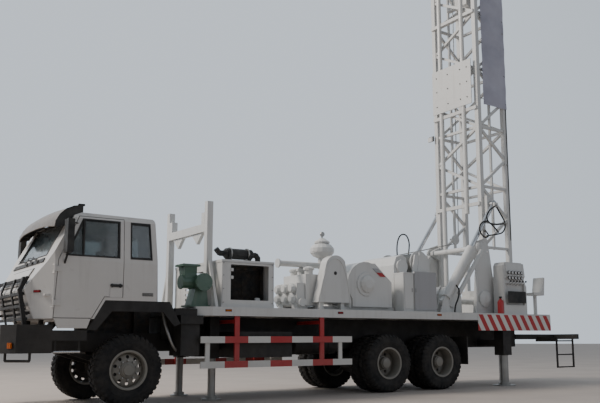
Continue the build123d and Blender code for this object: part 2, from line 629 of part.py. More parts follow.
# Engine house with its open side, the engine in it and the muffler on its roof
house_front = axle_1 + 1570
house_rear = axle_1 + 2590
house_near = -1150
house_far = 750
house_top = 2370
house_wall = 25
house_rim = 8
with BuildPart() as house:
    block((house_front, house_rear), (house_near, house_far), (deck_top, house_top))
    for z0, z1 in ((house_top - 45, house_top), (deck_top, deck_top + 60)):
        block((house_front - house_rim, house_rear + house_rim), (house_near - house_rim, house_far + house_rim),
              (z0, z1))
    block((house_front + house_wall, house_rear - house_wall), (house_near + house_wall, house_far - house_wall),
          (deck_top, house_top - 45), Mode.SUBTRACT)
    block((axle_1 + 1740, axle_1 + 2490), (house_near - 50, house_far + 50), (1685, 2290), Mode.SUBTRACT)
    for row in range(6):
        z = 1720 + 90 * row
        block((house_front - 30, house_front + 30), (-700, 300), (z, z + 40), Mode.SUBTRACT)
finish(house, "engine_house")

engine_x = axle_1 + 2110
crank_z = 1840
radiator_y = (-900, -830)
fan_y = -775
fan_z = 1950
with BuildPart() as diesel:
    block((axle_1 + 1700, axle_1 + 2520), radiator_y, (deck_top, 2300))
    for x0 in (axle_1 + 1760, axle_1 + 2120):
        block((x0, x0 + 340), (radiator_y[0] - 5, radiator_y[0] + 25), (1640, 2240), Mode.SUBTRACT)
    shroud = Plane(origin=(engine_x, radiator_y[1], fan_z), z_dir=(0, 1, 0))
    turned(shroud, ((-1, 310), (35, 290)), round_sides)
    turned(shroud, ((2, 270), (36, 270)), round_sides, Mode.SUBTRACT)
    rod((engine_x, radiator_y[1] - 1, fan_z), (engine_x, -640, fan_z), 45, sides=cover_sides)
    for blade in range(6):
        with BuildSketch(Plane.XZ.offset(-fan_y)) as blades:
            with Locations(Location((engine_x, fan_z), 60 * blade)):
                with Locations((150, 0)):
                    Rectangle(230, 70)
        extrude(blades.sketch, amount=-14)
    along(((-650, 1700), (-560, deck_top + 40), (420, deck_top + 40), (470, 1700), (470, 2010), (-650, 2010)),
          engine_x - 190, engine_x + 190)
    for y0 in (-620, -350, -80, 190):
        block((engine_x - 140, engine_x + 140), (y0, y0 + 240), (2009, 2120))
        block((engine_x - 90, engine_x + 90), (y0 + 30, y0 + 210), (2119, 2170))
    for out in (-1, 1):
        block((engine_x + out * 189, engine_x + out * 250), (-600, 400), (1930, 2000))
        block((engine_x + out * 150, engine_x + out * 330), (-250, -130), (deck_top, 1720))
        block((engine_x + out * 150, engine_x + out * 330), (300, 420), (deck_top, 1720))
    rod((engine_x + 300, -520, 1760), (engine_x + 300, -200, 1760), 85, sides=cover_sides)
    block((engine_x + 180, engine_x + 300), (-420, -300), (1720, 1800))
    rod((engine_x - 300, -400, 2120), (engine_x - 300, 100, 2120), 110, sides=cover_sides)
    block((engine_x - 300, engine_x - 130), (-200, -100), (2060, 2110))
    rod((engine_x, -700, crank_z - 60), (engine_x, -649, crank_z - 60), 110, sides=cover_sides)
    rod((engine_x, 469, crank_z), (engine_x, 500, crank_z), 200, sides=round_sides)
finish(diesel, "deck_engine")

muffler_y = -600
muffler_z = 2540
with BuildPart() as muffler:
    turned(Plane(origin=(axle_1 + 1870, muffler_y, muffler_z), z_dir=(1, 0, 0)),
           ((0, 48), (50, 95), (560, 95), (610, 48)), cover_sides)
    rod((axle_1 + 1790, muffler_y, muffler_z), (axle_1 + 1880, muffler_y, muffler_z), 48, sides=8)
    rod((axle_1 + 1800, muffler_y, muffler_z - 8), (axle_1 + 1725, muffler_y, muffler_z + 75), 48, sides=8)
    rod((axle_1 + 2470, muffler_y, muffler_z), (axle_1 + 2540, muffler_y, muffler_z), 48, sides=8)
    rod((axle_1 + 2530, muffler_y, muffler_z + 10), (axle_1 + 2585, muffler_y, muffler_z - 60), 48, sides=8)
    rod((axle_1 + 2578, muffler_y, muffler_z - 40), (axle_1 + 2578, muffler_y, house_top), 48, sides=8)
    for place in (axle_1 + 1960, axle_1 + 2360):
        block((place - 20, place + 20), (muffler_y - 60, muffler_y + 60), (house_top, muffler_z - 60))
        block((place - 20, place + 20), (muffler_y - 115, muffler_y - 90), (house_top, muffler_z + 30))
        block((place - 20, place + 20), (muffler_y - 115, muffler_y - 40), (muffler_z - 90, muffler_z - 50))
finish(muffler, "muffler")

# Air compressor on its pedestal behind the cab
compressor_x = axle_1 + 1265
compressor_z = 1970
with BuildPart() as compressor:
    turned(Plane(origin=(compressor_x, -1120, compressor_z), z_dir=(0, 1, 0)),
           ((0, 148), (60, 148), (62, 128), (340, 128), (342, 145), (400, 145)), round_sides)
    rod((axle_1 + 950, -900, compressor_z), (compressor_x, -900, compressor_z), 100, sides=cover_sides)
    rod((axle_1 + 925, -900, compressor_z), (axle_1 + 951, -900, compressor_z), 118, sides=cover_sides)
    along(((-975, 1990), (-825, 1990), (-760, 2120), (-720, 2235), (-985, 2235), (-975, 2120)),
          axle_1 + 970, axle_1 + 1190)
    block((axle_1 + 920, axle_1 + 1240), (-1010, -690), (2234, 2268))
    across(((axle_1 + 1080, deck_top), (axle_1 + 1165, 1870), (axle_1 + 1365, 1870), (axle_1 + 1400, deck_top)),
           -1000, -740)
    block((axle_1 + 1040, axle_1 + 1412), (-1040, -700), (deck_top, deck_top + 30))
finish(compressor, "air_compressor")

# Mud pump: power end, fluid end with its dampener, belt guard
pump_y = -450
crankcase_x = axle_1 + 4830
crankcase_z = 2080
crankcase_radius = 440
with BuildPart() as power_end:
    turned(Plane(origin=(crankcase_x, pump_y - 500, crankcase_z), z_dir=(0, 1, 0)),
           ((0, crankcase_radius), (1000, crankcase_radius)), 24)
    across(((axle_1 + 4500, 1640), (axle_1 + 4500, 2080), (axle_1 + 4700, 2500), (axle_1 + 5060, 2500),
            (axle_1 + 5480, 2140), (axle_1 + 5480, 1640)), pump_y - 500, pump_y + 500)
    across(((axle_1 + 5100, 2440), (axle_1 + 5125, 2475), (axle_1 + 5470, 2180), (axle_1 + 5445, 2140)),
           pump_y - 440, pump_y + 440)
    for out in (-1, 1):
        turned(Plane(origin=(crankcase_x, pump_y + out * 499, crankcase_z), z_dir=(0, out, 0)),
               ((0, 235), (30, 225), (32, 170), (75, 160), (110, 85)), cover_sides)
        block((axle_1 + 3700, axle_1 + 5600), (pump_y + out * 400, pump_y + out * 300), (deck_top, 1640))
    block((axle_1 + 3800, axle_1 + 4501), (pump_y - 250, pump_y + 250), (1700, 2200))
    block((axle_1 + 4440, axle_1 + 4501), (pump_y - 460, pump_y + 460), (1639, 2150))
    for place in (axle_1 + 3720, axle_1 + 4300, axle_1 + 5500):
        block((place, place + 90), (pump_y - 301, pump_y + 301), (deck_top, 1630))
finish(power_end, "pump_power_end")

VALVE_ROWS = (-250, 0, 250)
dampener_x = axle_1 + 4090
with BuildPart() as fluid_end:
    block((axle_1 + 3480, axle_1 + 3800), (pump_y - 390, pump_y + 390), (1640, 2230))
    block((axle_1 + 3300, axle_1 + 3481), (pump_y - 360, pump_y + 360), (1680, 2060))
    for y in VALVE_ROWS:
        turned(Plane(origin=(axle_1 + 3640, pump_y + y, 2229), z_dir=(0, 0, 1)),
               ((0, 80), (90, 80), (92, 105), (130, 105), (160, 40)), 10)
        for z in (1770, 1960):
            turned(Plane(origin=(axle_1 + 3301, pump_y + y, z), z_dir=(-1, 0, 0)),
                   ((0, 85), (50, 85), (90, 60)), 8)
    rod((axle_1 + 3400, pump_y - 420, 1700), (axle_1 + 3400, pump_y + 420, 1700), 75, sides=12)
    for out in (-1, 1):
        block((axle_1 + 3320, axle_1 + 3560), (pump_y + out * 330, pump_y + out * 150), (deck_top, 1681))
    rod((axle_1 + 3090, pump_y - 50, 2440), (axle_1 + 4090, pump_y - 50, 2440), 55, sides=12)
    rod((axle_1 + 3060, pump_y - 50, 2440), (axle_1 + 3091, pump_y - 50, 2440), 85, sides=cover_sides)
    rod((axle_1 + 3640, pump_y - 50, 2380), (axle_1 + 3640, pump_y - 50, 2470), 75, sides=12)
    rod((dampener_x, pump_y - 50, 2380), (dampener_x, pump_y - 50, 2600), 80, sides=12)
    turned(Plane(origin=(dampener_x, pump_y - 50, 2590), z_dir=(0, 0, 1)),
           ((0, 90), (45, 185), (120, 236), (190, 236), (260, 180), (290, 120), (292, 150), (325, 150),
            (395, 50)), 16)
finish(fluid_end, "pump_fluid_end")

guard_in = pump_y - 420
with BuildPart() as belt_guard:
    with BuildSketch(Plane.XZ.offset(-(guard_in))):
        with BuildLine():
            Polyline((axle_1 + 3600, 1700), (axle_1 + 3800, 2450))
            ThreePointArc((axle_1 + 3800, 2450), (axle_1 + 4000, 2590), (axle_1 + 4230, 2480))
            Polyline((axle_1 + 4230, 2480), (axle_1 + 4370, 1700), (axle_1 + 3600, 1700))
        make_face()
    extrude(amount=200)
    for place in (axle_1 + 3720, axle_1 + 4200):
        block((place - 40, place + 40), (guard_in - 150, guard_in - 50), (deck_top, 1701))
finish(belt_guard, "belt_guard")

# Cabinets beside the winch
with BuildPart() as cabinets:
    for x0, x1 in ((axle_1 + 5640, axle_1 + 5905), (axle_1 + 5915, axle_1 + 6530)):
        block((x0, x1), (-1130, -850), (deck_top, 2320))
        block((x0 + 25, x1 - 25), (-1142, -1129), (deck_top + 60, 2260))
        block((x0 - 4, x1 + 4), (-1140, -840), (2319, 2345))
    rod((axle_1 + 6100, -990, 2344), (axle_1 + 6100, -990, 2385), 55, sides=12)
finish(cabinets, "side_cabinets")

# Winch: frame plates carry the drum's shaft
winch_x = axle_1 + 6450
winch_z = 2620
winch_near = -720
winch_far = 300
winch_plate = 30
drum_core = 150
flange_radius = 250
with BuildPart() as winch_frame:
    for y0 in (winch_near - 40 - winch_plate, winch_far + 40):
        across(((winch_x - 450, deck_top), (winch_x + 400, deck_top), (winch_x + 180, winch_z + 150),
                (winch_x - 180, winch_z + 150)), y0, y0 + winch_plate)
    block((winch_x - 440, winch_x - 360), (winch_near - 41, winch_far + 41), (deck_top, deck_top + 120))
    block((winch_x + 300, winch_x + 380), (winch_near - 41, winch_far + 41), (deck_top, deck_top + 120))
    rod((winch_x, winch_near - 45 - winch_plate, winch_z), (winch_x, winch_far + 45 + winch_plate, winch_z), 50)
    hood = ((winch_x - 760, deck_top), (winch_x - 760, 2520), (winch_x - 690, 2690), (winch_x - 540, 2745),
            (winch_x - 420, 2690), (winch_x - 400, 2500), (winch_x - 449, deck_top))
    across(hood, winch_near - 60, winch_far + 60)
    for out in (-1, 1):
        y0 = winch_near - 59 if out < 0 else winch_far + 59
        turned(Plane(origin=(winch_x - 560, y0, 2500), z_dir=(0, out, 0)), ((0, 150), (45, 140)), cover_sides)
    for y0 in (winch_near - 70, winch_far + 70):
        across(((winch_x - 120, winch_z - 180), (winch_x - 60, winch_z + 200), (winch_x + 60, winch_z + 200),
                (winch_x + 120, winch_z - 180)), y0 - 10, y0 + 10)
finish(winch_frame, "winch_frame")

with BuildPart() as drum:
    rod((winch_x, winch_near, winch_z), (winch_x, winch_far, winch_z), drum_core, sides=round_sides)
    for y0 in (winch_near, winch_far - 20):
        rod((winch_x, y0, winch_z), (winch_x, y0 + 20, winch_z), flange_radius, sides=24)
    for y0, out in ((winch_near, -1), (winch_far, 1)):
        drum_side = Plane(origin=(winch_x, y0 + out, winch_z), z_dir=(0, -out, 0))
        turned(drum_side, ((0, 215), (32, 215)), cover_sides)
    rod((winch_x, winch_near - 30, winch_z), (winch_x, winch_far + 30, winch_z), 75, sides=cover_sides)
    rod((winch_x, winch_near - 40, winch_z), (winch_x, winch_far + 40, winch_z), 50 + pin_gap, Mode.SUBTRACT)
finish(drum, "winch_drum")

# Lift cylinder line, from its lower pivot to its eye on the mast
lift_base = (hinge_x - 1270, hinge_z - 1260)
lift_eye = (hinge_x + 380, hinge_z + 1020)
lift_run = hypot(lift_eye[0] - lift_base[0], lift_eye[1] - lift_base[1])
lift_dir = ((lift_eye[0] - lift_base[0]) / lift_run, (lift_eye[1] - lift_base[1]) / lift_run)
folded_eye = (hinge_x - (lift_eye[1] - hinge_z), hinge_z + (lift_eye[0] - hinge_x))
lift_stroke = lift_run - hypot(folded_eye[0] - lift_base[0], folded_eye[1] - lift_base[1])
barrel_length = 1500
bore_from = 180
piston_from = bore_from + lift_stroke + 10
lift_pin = 40

# A-frame: side plates and struts carry the hinge tube that the mast turns on
plate_in = leg_y + leg_size / 2 + 10
plate_thick = 30
a_base_front = hinge_x - 1200
with BuildPart() as a_frame:
    for out in (-1, 1):
        y0, y1 = out * plate_in, out * (plate_in + plate_thick)
        across(((hinge_x - 230, deck_top), (hinge_x - 130, 2500), (hinge_x - 160, hinge_z + 20),
                (hinge_x - 60, hinge_z + 150), (hinge_x + 260, hinge_z + 250), (hinge_x + 330, hinge_z - 60),
                (hinge_x + 420, 2400), (hinge_x + 520, deck_top)), y0, y1)
        bar((a_base_front, out * (plate_in - 30), deck_top + 60), (hinge_x - 110, out * (plate_in - 30), hinge_z - 90),
            120, 120)
        block((a_base_front - 160, a_base_front + 160), (out * (plate_in - 100), out * (plate_in + 40)),
              (deck_top, deck_top + 90))
        bar((hinge_x - 215, out * (plate_in + 45), deck_top + 3), (hinge_x - 125, out * (plate_in + 45), 2500), 90, 24)
        bar((hinge_x + 505, out * (plate_in + 45), deck_top + 3), (hinge_x + 405, out * (plate_in + 45), 2400), 90, 24)
        turned(Plane(origin=(hinge_x, out * (plate_in + plate_thick - 1), hinge_z), z_dir=(0, out, 0)),
               ((0, 120), (30, 110), (50, 75)), cover_sides)
        turned(Plane(origin=(hinge_x + 120, out * (plate_in + plate_thick - 1), 1900), z_dir=(0, out, 0)),
               ((0, 190), (40, 180), (90, 80)), cover_sides)
    rod((hinge_x, -plate_in - plate_thick, hinge_z), (hinge_x, plate_in + plate_thick, hinge_z), hinge_tube)
    for out in (-1, 1):
        for gap in (-1, 1):
            y0 = out * lift_y + gap * 50
            across(((lift_base[0] - 160, deck_top), (lift_base[0] + 160, deck_top),
                    (lift_base[0] + 55, lift_base[1] + 65), (lift_base[0] - 55, lift_base[1] + 65)),
                   y0, y0 + gap * 25)
        rod((lift_base[0], out * lift_y - 75, lift_base[1]), (lift_base[0], out * lift_y + 75, lift_base[1]),
            lift_pin)
finish(a_frame, "a_frame")

# Lift cylinders: barrels pivot on the deck, rods reach lugs on the mast's legs
def lift_point(distance, y):
    """A point on a lift cylinder's axis, at a distance from its lower pivot."""
    return (lift_base[0] + lift_dir[0] * distance, y, lift_base[1] + lift_dir[1] * distance)


with BuildPart() as barrels:
    for y in (-lift_y, lift_y):
        rod(lift_point(130, y), lift_point(barrel_length, y), lift_barrel_radius, sides=round_sides)
        rod(lift_point(bore_from, y), lift_point(barrel_length + 5, y), lift_rod_radius + pin_gap,
            Mode.SUBTRACT, sides=16)
        bar(lift_point(0, y), lift_point(140, y), 90, 120)
        rod((lift_base[0], y - 45, lift_base[1]), (lift_base[0], y + 45, lift_base[1]), 75)
        rod((lift_base[0], y - 50, lift_base[1]), (lift_base[0], y + 50, lift_base[1]), lift_pin + pin_gap,
            Mode.SUBTRACT)
finish(barrels, "lift_barrels")

with BuildPart() as rods:
    for y in (-lift_y, lift_y):
        rod(lift_point(piston_from, y), lift_point(lift_run, y), lift_rod_radius, sides=16)
        rod((lift_eye[0], y - 45, lift_eye[1]), (lift_eye[0], y + 45, lift_eye[1]), 80, sides=16)
finish(rods, "lift_rods")

# Lattice mast: legs, rungs and diagonals of each face, then the lugs on the hinge tube
front_leg_x = hinge_x + front_leg_back
rear_leg_x = front_leg_x + mast_depth
mast_middle = (front_leg_x + rear_leg_x) / 2
mast_bays = 7
lattice_bottom = hinge_z + 40
bay_height = (mast_top - lattice_bottom - leg_size) / mast_bays
with BuildPart() as mast:
    for x in (front_leg_x, rear_leg_x):
        for y in (-leg_y, leg_y):
            block((x - leg_size / 2, x + leg_size / 2), (y - leg_size / 2, y + leg_size / 2),
                  (mast_bottom, mast_top))
    for y in (-leg_y, leg_y):
        with BuildSketch(Plane.XZ.offset(-y - brace / 2)):
            with BuildLine():
                for bay in range(mast_bays + 1):
                    z = lattice_bottom + bay * bay_height
                    Line((front_leg_x, z), (rear_leg_x, z))
                for bay in range(mast_bays):
                    z = lattice_bottom + bay * bay_height
                    Line((front_leg_x, z), (rear_leg_x, z + bay_height / 2))
                    Line((rear_leg_x, z + bay_height / 2), (front_leg_x, z + bay_height))
                Line((front_leg_x, mast_bottom + 80), (rear_leg_x, mast_bottom + 80))
            trace(line_width=brace)
            with Locations((mast_middle, (mast_bottom + mast_top) / 2)):
                Rectangle(mast_depth + leg_size - 20, mast_top - mast_bottom, mode=Mode.INTERSECT)
        extrude(amount=brace)
    for x, first in ((front_leg_x, 1), (rear_leg_x, 1)):
        with BuildSketch(Plane.YZ.offset(x - brace / 2)):
            with BuildLine():
                for bay in range(first, mast_bays + 1):
                    z = lattice_bottom + bay * bay_height
                    Line((-leg_y, z), (leg_y, z))
                for bay in range(first, mast_bays):
                    z = lattice_bottom + bay * bay_height
                    Line((-leg_y, z), (leg_y, z + bay_height / 2))
                    Line((leg_y, z + bay_height / 2), (-leg_y, z + bay_height))
            trace(line_width=brace)
            with Locations((0, (mast_bottom + mast_top) / 2)):
                Rectangle(2 * leg_y + leg_size - 20, mast_top - mast_bottom, mode=Mode.INTERSECT)
        extrude(amount=brace)
    block((front_leg_x - leg_size / 2, rear_leg_x + leg_size / 2), (-leg_y - leg_size / 2, leg_y + leg_size / 2),
          (mast_top, mast_top + 60))
    for out in (-1, 1):
        across(((hinge_x - 90, hinge_z - 40), (hinge_x - 90, hinge_z + 40), (hinge_x + 20, hinge_z + 100),
                (front_leg_x, hinge_z + 180), (front_leg_x, hinge_z - 180), (hinge_x + 20, hinge_z - 100)),
               out * (leg_y - 40), out * (leg_y + 40))
        across(((front_leg_x + 20, lift_eye[1] - 200), (lift_eye[0] + 120, lift_eye[1] - 60),
                (lift_eye[0] + 120, lift_eye[1] + 60), (front_leg_x + 20, lift_eye[1] + 200)),
               out * (leg_y + leg_size / 2 - 1), out * (lift_y - 45 - 12))
    rod((hinge_x, -leg_y - 50, hinge_z), (hinge_x, leg_y + 50, hinge_z), hinge_tube + pin_gap, Mode.SUBTRACT)
    for y in (-200, 0, 200):
        rod((rear_leg_x - 300, y - 30, mast_top + 300), (rear_leg_x - 300, y + 30, mast_top + 300), 230,
            sides=round_sides)
    for y in (-300, -100, 100, 300):
        across(((rear_leg_x - 500, mast_top + 59), (rear_leg_x - 100, mast_top + 59),
                (rear_leg_x - 230, mast_top + 360), (rear_leg_x - 370, mast_top + 360)), y - 15, y + 15)
    rod((rear_leg_x - 300, -315, mast_top + 300), (rear_leg_x - 300, 315, mast_top + 300), 40, sides=8)
    for out in (-1, 1):
        block(((front_leg_x + rear_leg_x) / 2 - 25, (front_leg_x + rear_leg_x) / 2 + 25),
              (out * (leg_y - 80), out * (leg_y - brace / 2 + 1)), (lattice_bottom - 30, mast_top + 1))
finish(mast, "mast")

# Feed columns in front of the mast, and the plate that joins them high up
column_radius = 55
column_x = hinge_x + hinge_tube + 15 + column_radius
with BuildPart() as columns:
    for y, low, high in ((420, deck_top + 120, 9800), (-330, 3900, 9800)):
        rod((column_x, y, low), (column_x, y, high), column_radius, sides=12)
    block((column_x - column_radius - 12, column_x - column_radius + 8), (-650, 650), (6500, 7600))
    for z in (4100, 6400, 8800):
        block((column_x, front_leg_x - leg_size / 2), (-leg_y - 30, leg_y + 30), (z - 40, z + 40))
finish(columns, "mast_columns")

# Travelling block, guided between the two rails inside the mast
block_z = 9200
block_x = (front_leg_x + rear_leg_x) / 2
rail_face = leg_y - 80 - seat_gap
with BuildPart() as traveller:
    across(((block_x - 190, block_z + 60), (block_x - 190, block_z + 400), (block_x - 90, block_z + 560),
            (block_x + 90, block_z + 560), (block_x + 190, block_z + 400), (block_x + 190, block_z + 60),
            (block_x + 110, block_z), (block_x - 110, block_z)), -200, 200)
    turned(Plane(origin=(block_x, 0, block_z - 60), z_dir=(0, 0, 1)), ((0, 110), (61, 150), (140, 150)), 16)
    block((block_x - 60, block_x + 60), (-rail_face, rail_face), (block_z + 150, block_z + 270))
    rod((block_x, 0, block_z - 260), (block_x, 0, block_z + 10), 60, sides=12)
    for y in (-240, 240):
        rod((block_x, y - 41, block_z + 330), (block_x, y + 41, block_z + 330), 170, sides=round_sides)
finish(traveller, "travelling_block")

# Rotary gearbox at the foot of the mast, and its turning table
rotary_x = (front_leg_x + rear_leg_x) / 2
with BuildPart() as gearbox:
    block((rotary_x - 380, rotary_x + 380), (-350, 350), (deck_top, 1980))
    rod((rotary_x - 1500, -300, 1850), (rotary_x - 379, -300, 1850), 60, sides=12)
    across(((hinge_x - 1020, deck_top), (hinge_x - 1000, 1980), (hinge_x - 880, 2150), (hinge_x - 560, 2150),
            (hinge_x - 430, 1950), (hinge_x - 410, deck_top)), -600, 200)
    for y0 in (-450, -150, 100):
        across(((hinge_x - 1040, deck_top), (hinge_x - 1020, 2000), (hinge_x - 900, 2180), (hinge_x - 540, 2180),
                (hinge_x - 410, 1960), (hinge_x - 390, deck_top)), y0, y0 + 30)
    rod((hinge_x - 720, -650, 1900), (hinge_x - 720, -599, 1900), 200, sides=round_sides)
finish(gearbox, "rotary_gearbox")
with BuildPart() as table:
    with BuildSketch(Plane.XY.offset(1980 + seat_gap)):
        with Locations((rotary_x, 0)):
            RegularPolygon(330, round_sides)
            RegularPolygon(120, round_sides, mode=Mode.SUBTRACT)
    extrude(amount=140)
finish(table, "rotary_table")

# Control console and the operator's seat post beside the mast
console_near = -1150
console_far = -850
with BuildPart() as console:
    across(((axle_1 + 8560, deck_top), (axle_1 + 9330, deck_top), (axle_1 + 9330, 2180), (axle_1 + 9260, 2300),
            (axle_1 + 9250, 2640), (axle_1 + 9180, 2720), (axle_1 + 8640, 2720), (axle_1 + 8580, 2640)),
           console_near, console_far)
    block((axle_1 + 8640, axle_1 + 9260), (console_near - 10, console_near + 60), (1760, 2240), Mode.SUBTRACT)
    along(((console_near, 2350), (console_near - 45, 2400), (console_near - 10, 2700), (console_near + 5, 2700),
           (console_near + 5, 2350)), axle_1 + 8640, axle_1 + 9240)
    for x0 in (axle_1 + 8700, axle_1 + 8840, axle_1 + 8980, axle_1 + 9120):
        rod((x0, console_near + 30, 2290), (x0, console_near - 60, 2420), 12, sides=6)
    block((axle_1 + 9700, axle_1 + 9760), (-1080, -1020), (deck_top, 2000))
    across(((axle_1 + 9540, 2000), (axle_1 + 9530, 2060), (axle_1 + 9820, 2075), (axle_1 + 9880, 2420),
            (axle_1 + 9920, 2410), (axle_1 + 9880, 2000)), -1200, -900)
finish(console, "control_console")

# Jacks: housings under the deck and the frame, legs with pads on the ground
front_jack_x = axle_1 + 1657
front_jack_y = 659
rear_jack_x = axle_3 + 1970
rear_jack_y = 1220
JACKS = (  # name, x, y, leg radius, pad radius, housing bottom, housing half width
    ("front_left", front_jack_x, -front_jack_y, 65, 160, 700, 90),
    ("front_right", front_jack_x, front_jack_y, 65, 160, 700, 90),
    ("rear_left", rear_jack_x, -rear_jack_y + 140, 100, 240, 660, 130),
    ("rear_right", rear_jack_x, rear_jack_y - 140, 100, 240, 660, 130),
)
with BuildPart() as housings:
    for name, x, y, leg, pad, low, half in JACKS:
        block((x - half, x + half), (y - half, y + half), (low, deck_bottom))
        with BuildSketch(Plane.XY.offset(low - 1)):
            with Locations((x, y)):
                RegularPolygon(leg + pin_gap, 16, major_radius=False)
        extrude(amount=deck_bottom - low - 40, mode=Mode.SUBTRACT)
        inner = rail_y + rail_wide / 2
        side_in = abs(y) - half
        sign = 1 if y > 0 else -1
        block((x - half, x + half), (sign * inner, sign * (side_in + 1)), (low + 200, low + 330))
finish(housings, "jack_housings")
for name, x, y, leg, pad, low, half in JACKS:
    with BuildPart() as jack:
        with BuildSketch(Plane.XY) as foot:
            with Locations((x, y)):
                RegularPolygon(pad, round_sides, major_radius=False)
        extrude(foot.sketch, amount=25)
        with BuildSketch(Plane.XY) as column:
            with Locations((x, y)):
                RegularPolygon(leg, 16, major_radius=False)
        extrude(column.sketch, amount=850)
        with BuildSketch(Plane.XY) as collar:
            with Locations((x, y)):
                RegularPolygon(leg + 30, 16, major_radius=False)
        extrude(collar.sketch, amount=70)
    finish(jack, f"jack_{name}")

# Rear step beam with its ladder
with BuildPart() as step:
    block((frame_rear, x_rear), (-450, -390), (1000, 1120))
    block((x_rear - 60, x_rear), (-1150, -389), (1000, 1120))
    block((frame_rear, x_rear), (390, 450), (1000, 1120))
    block((x_rear - 60, x_rear), (389, 1150), (1000, 1120))
    block((x_rear - 60, x_rear), (-390, 390), (1000, 1120))
    for x in (x_rear - 50, x_rear - 650):
        bar((x, -1000, 1060 if x > x_rear - 100 else 960), (x, -1000, 335), 40, 25)
    for z in (350, 640, 960):
        block((x_rear - 660, x_rear - 40), (-1015, -985), (z - 15, z + 15))
    block((x_rear - 660, x_rear - 620), (-1015, -389), (945, 1060))
    block((x_rear - 660, x_rear - 620), (-450, -389), (945, 1060))
finish(step, "rear_step_ladder")
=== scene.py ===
from math import atan, cos, pi, radians, sin

import bmesh
import bpy
from mathutils import Matrix, Vector


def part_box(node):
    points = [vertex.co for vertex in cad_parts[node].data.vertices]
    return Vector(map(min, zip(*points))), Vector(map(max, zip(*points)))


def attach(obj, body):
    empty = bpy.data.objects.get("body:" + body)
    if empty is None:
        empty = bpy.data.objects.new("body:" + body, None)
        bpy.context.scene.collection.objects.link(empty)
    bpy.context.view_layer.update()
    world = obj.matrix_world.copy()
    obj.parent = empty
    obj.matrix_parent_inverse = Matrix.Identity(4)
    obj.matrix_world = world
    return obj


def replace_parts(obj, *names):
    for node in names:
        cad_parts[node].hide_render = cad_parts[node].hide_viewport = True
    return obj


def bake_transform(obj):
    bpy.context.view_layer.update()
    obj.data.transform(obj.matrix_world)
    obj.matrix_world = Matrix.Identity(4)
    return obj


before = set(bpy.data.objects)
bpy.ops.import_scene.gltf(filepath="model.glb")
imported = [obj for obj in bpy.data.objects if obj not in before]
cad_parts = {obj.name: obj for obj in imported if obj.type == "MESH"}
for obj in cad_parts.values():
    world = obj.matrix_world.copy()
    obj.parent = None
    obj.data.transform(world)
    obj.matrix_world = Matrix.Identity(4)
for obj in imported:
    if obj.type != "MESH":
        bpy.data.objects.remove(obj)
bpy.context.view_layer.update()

# Places read from the frame
TYRE_LOW, TYRE_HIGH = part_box("tyre_front_left")
TYRE_RADIUS = (TYRE_HIGH.z - TYRE_LOW.z) / 2
TYRE_HALF = (TYRE_HIGH.y - TYRE_LOW.y) / 2
FRONT_AXLE = (TYRE_LOW.x + TYRE_HIGH.x) / 2
SIDES = (("left", -1), ("right", 1))


def at(x, y, z):
    """A point given by its distance behind the front axle, its Y and its height."""
    return Vector((FRONT_AXLE + x, y, z))


# Node and colour helpers. A node goes into the tree that the socket given to it belongs to.
def colour(code):
    """An sRGB hex colour as linear red, green, blue and alpha."""
    parts = [int(code[i:i + 2], 16) / 255 for i in (1, 3, 5)]
    return (*[c / 12.92 if c <= 0.04045 else ((c + 0.055) / 1.055) ** 2.4 for c in parts], 1.0)


def add_node(tree, kind, inputs=None, **settings):
    """Adds a node, sets it, and fills its inputs with values or with other nodes' outputs."""
    node = tree.nodes.new(kind)
    for key, value in settings.items():
        setattr(node, key, value)
    for socket, value in (inputs or {}).items():
        if isinstance(value, bpy.types.NodeSocket):
            tree.links.new(value, node.inputs[socket])
        else:
            node.inputs[socket].default_value = value
    return node


def new_finish(name, **values):
    """A material with one shader, its plain values set on the shader's own sockets."""
    material = bpy.data.materials.new(name)
    material.use_nodes = True
    shader = material.node_tree.nodes["Principled BSDF"]
    for socket, value in values.items():
        shader.inputs[socket.replace("_", " ")].default_value = value
    return material, shader, add_node(material.node_tree, "ShaderNodeTexCoord").outputs["Object"]


def feed(shader, socket, value):
    """Links an output to a socket of the shader."""
    shader.id_data.links.new(value, shader.inputs[socket])


def noise(place, size, detail=4.0):
    """Noise whose lumps are about the size given, in metres."""
    inputs = {"Vector": place, "Scale": 1 / size, "Detail": detail, "Roughness": 0.55}
    return add_node(place.id_data, "ShaderNodeTexNoise", inputs).outputs["Fac"]


def waves(place, width, inputs=None, **settings):
    """Light and dark bands, each about as wide as given, in metres."""
    # at scale 1 a wave texture repeats every 2 pi / 20 units: a light and a dark band, each 1 / 6.3 wide
    return add_node(place.id_data, "ShaderNodeTexWave",
                    {"Vector": place, "Scale": 1 / width / 6.3, **(inputs or {})}, **settings).outputs["Fac"]


def spread(value, low, high, to_low=0.0, to_high=1.0):
    """Stretches a value from one range to another, held at its ends."""
    inputs = {"Value": value, "From Min": low, "From Max": high, "To Min": to_low, "To Max": to_high}
    return add_node(value.id_data, "ShaderNodeMapRange", inputs).outputs["Result"]


def mixed(share, first, second):
    """The first colour going over to the second by a share; each is a hex code, a colour or an output."""
    first, second = (colour(c) if isinstance(c, str) else c for c in (first, second))
    return add_node(share.id_data, "ShaderNodeMix", {"Factor": share, 6: first, 7: second},
                    data_type="RGBA").outputs[2]


def sums(operation, first, second=0.0):
    """One sum of two numbers, the first of them an output."""
    return add_node(first.id_data, "ShaderNodeMath", {0: first, 1: second}, operation=operation).outputs[0]


def gloss(shader, place, size, low, high):
    """Roughness that wanders between two values in patches of a size."""
    feed(shader, "Roughness", spread(noise(place, size), 0.3, 0.7, low, high))


def bump(shader, height, distance):
    """Relief of a real depth, in metres, on a shader."""
    relief = add_node(shader.id_data, "ShaderNodeBump",
                      {"Height": height, "Distance": distance, "Strength": 1.0})
    feed(shader, "Normal", relief.outputs["Normal"])


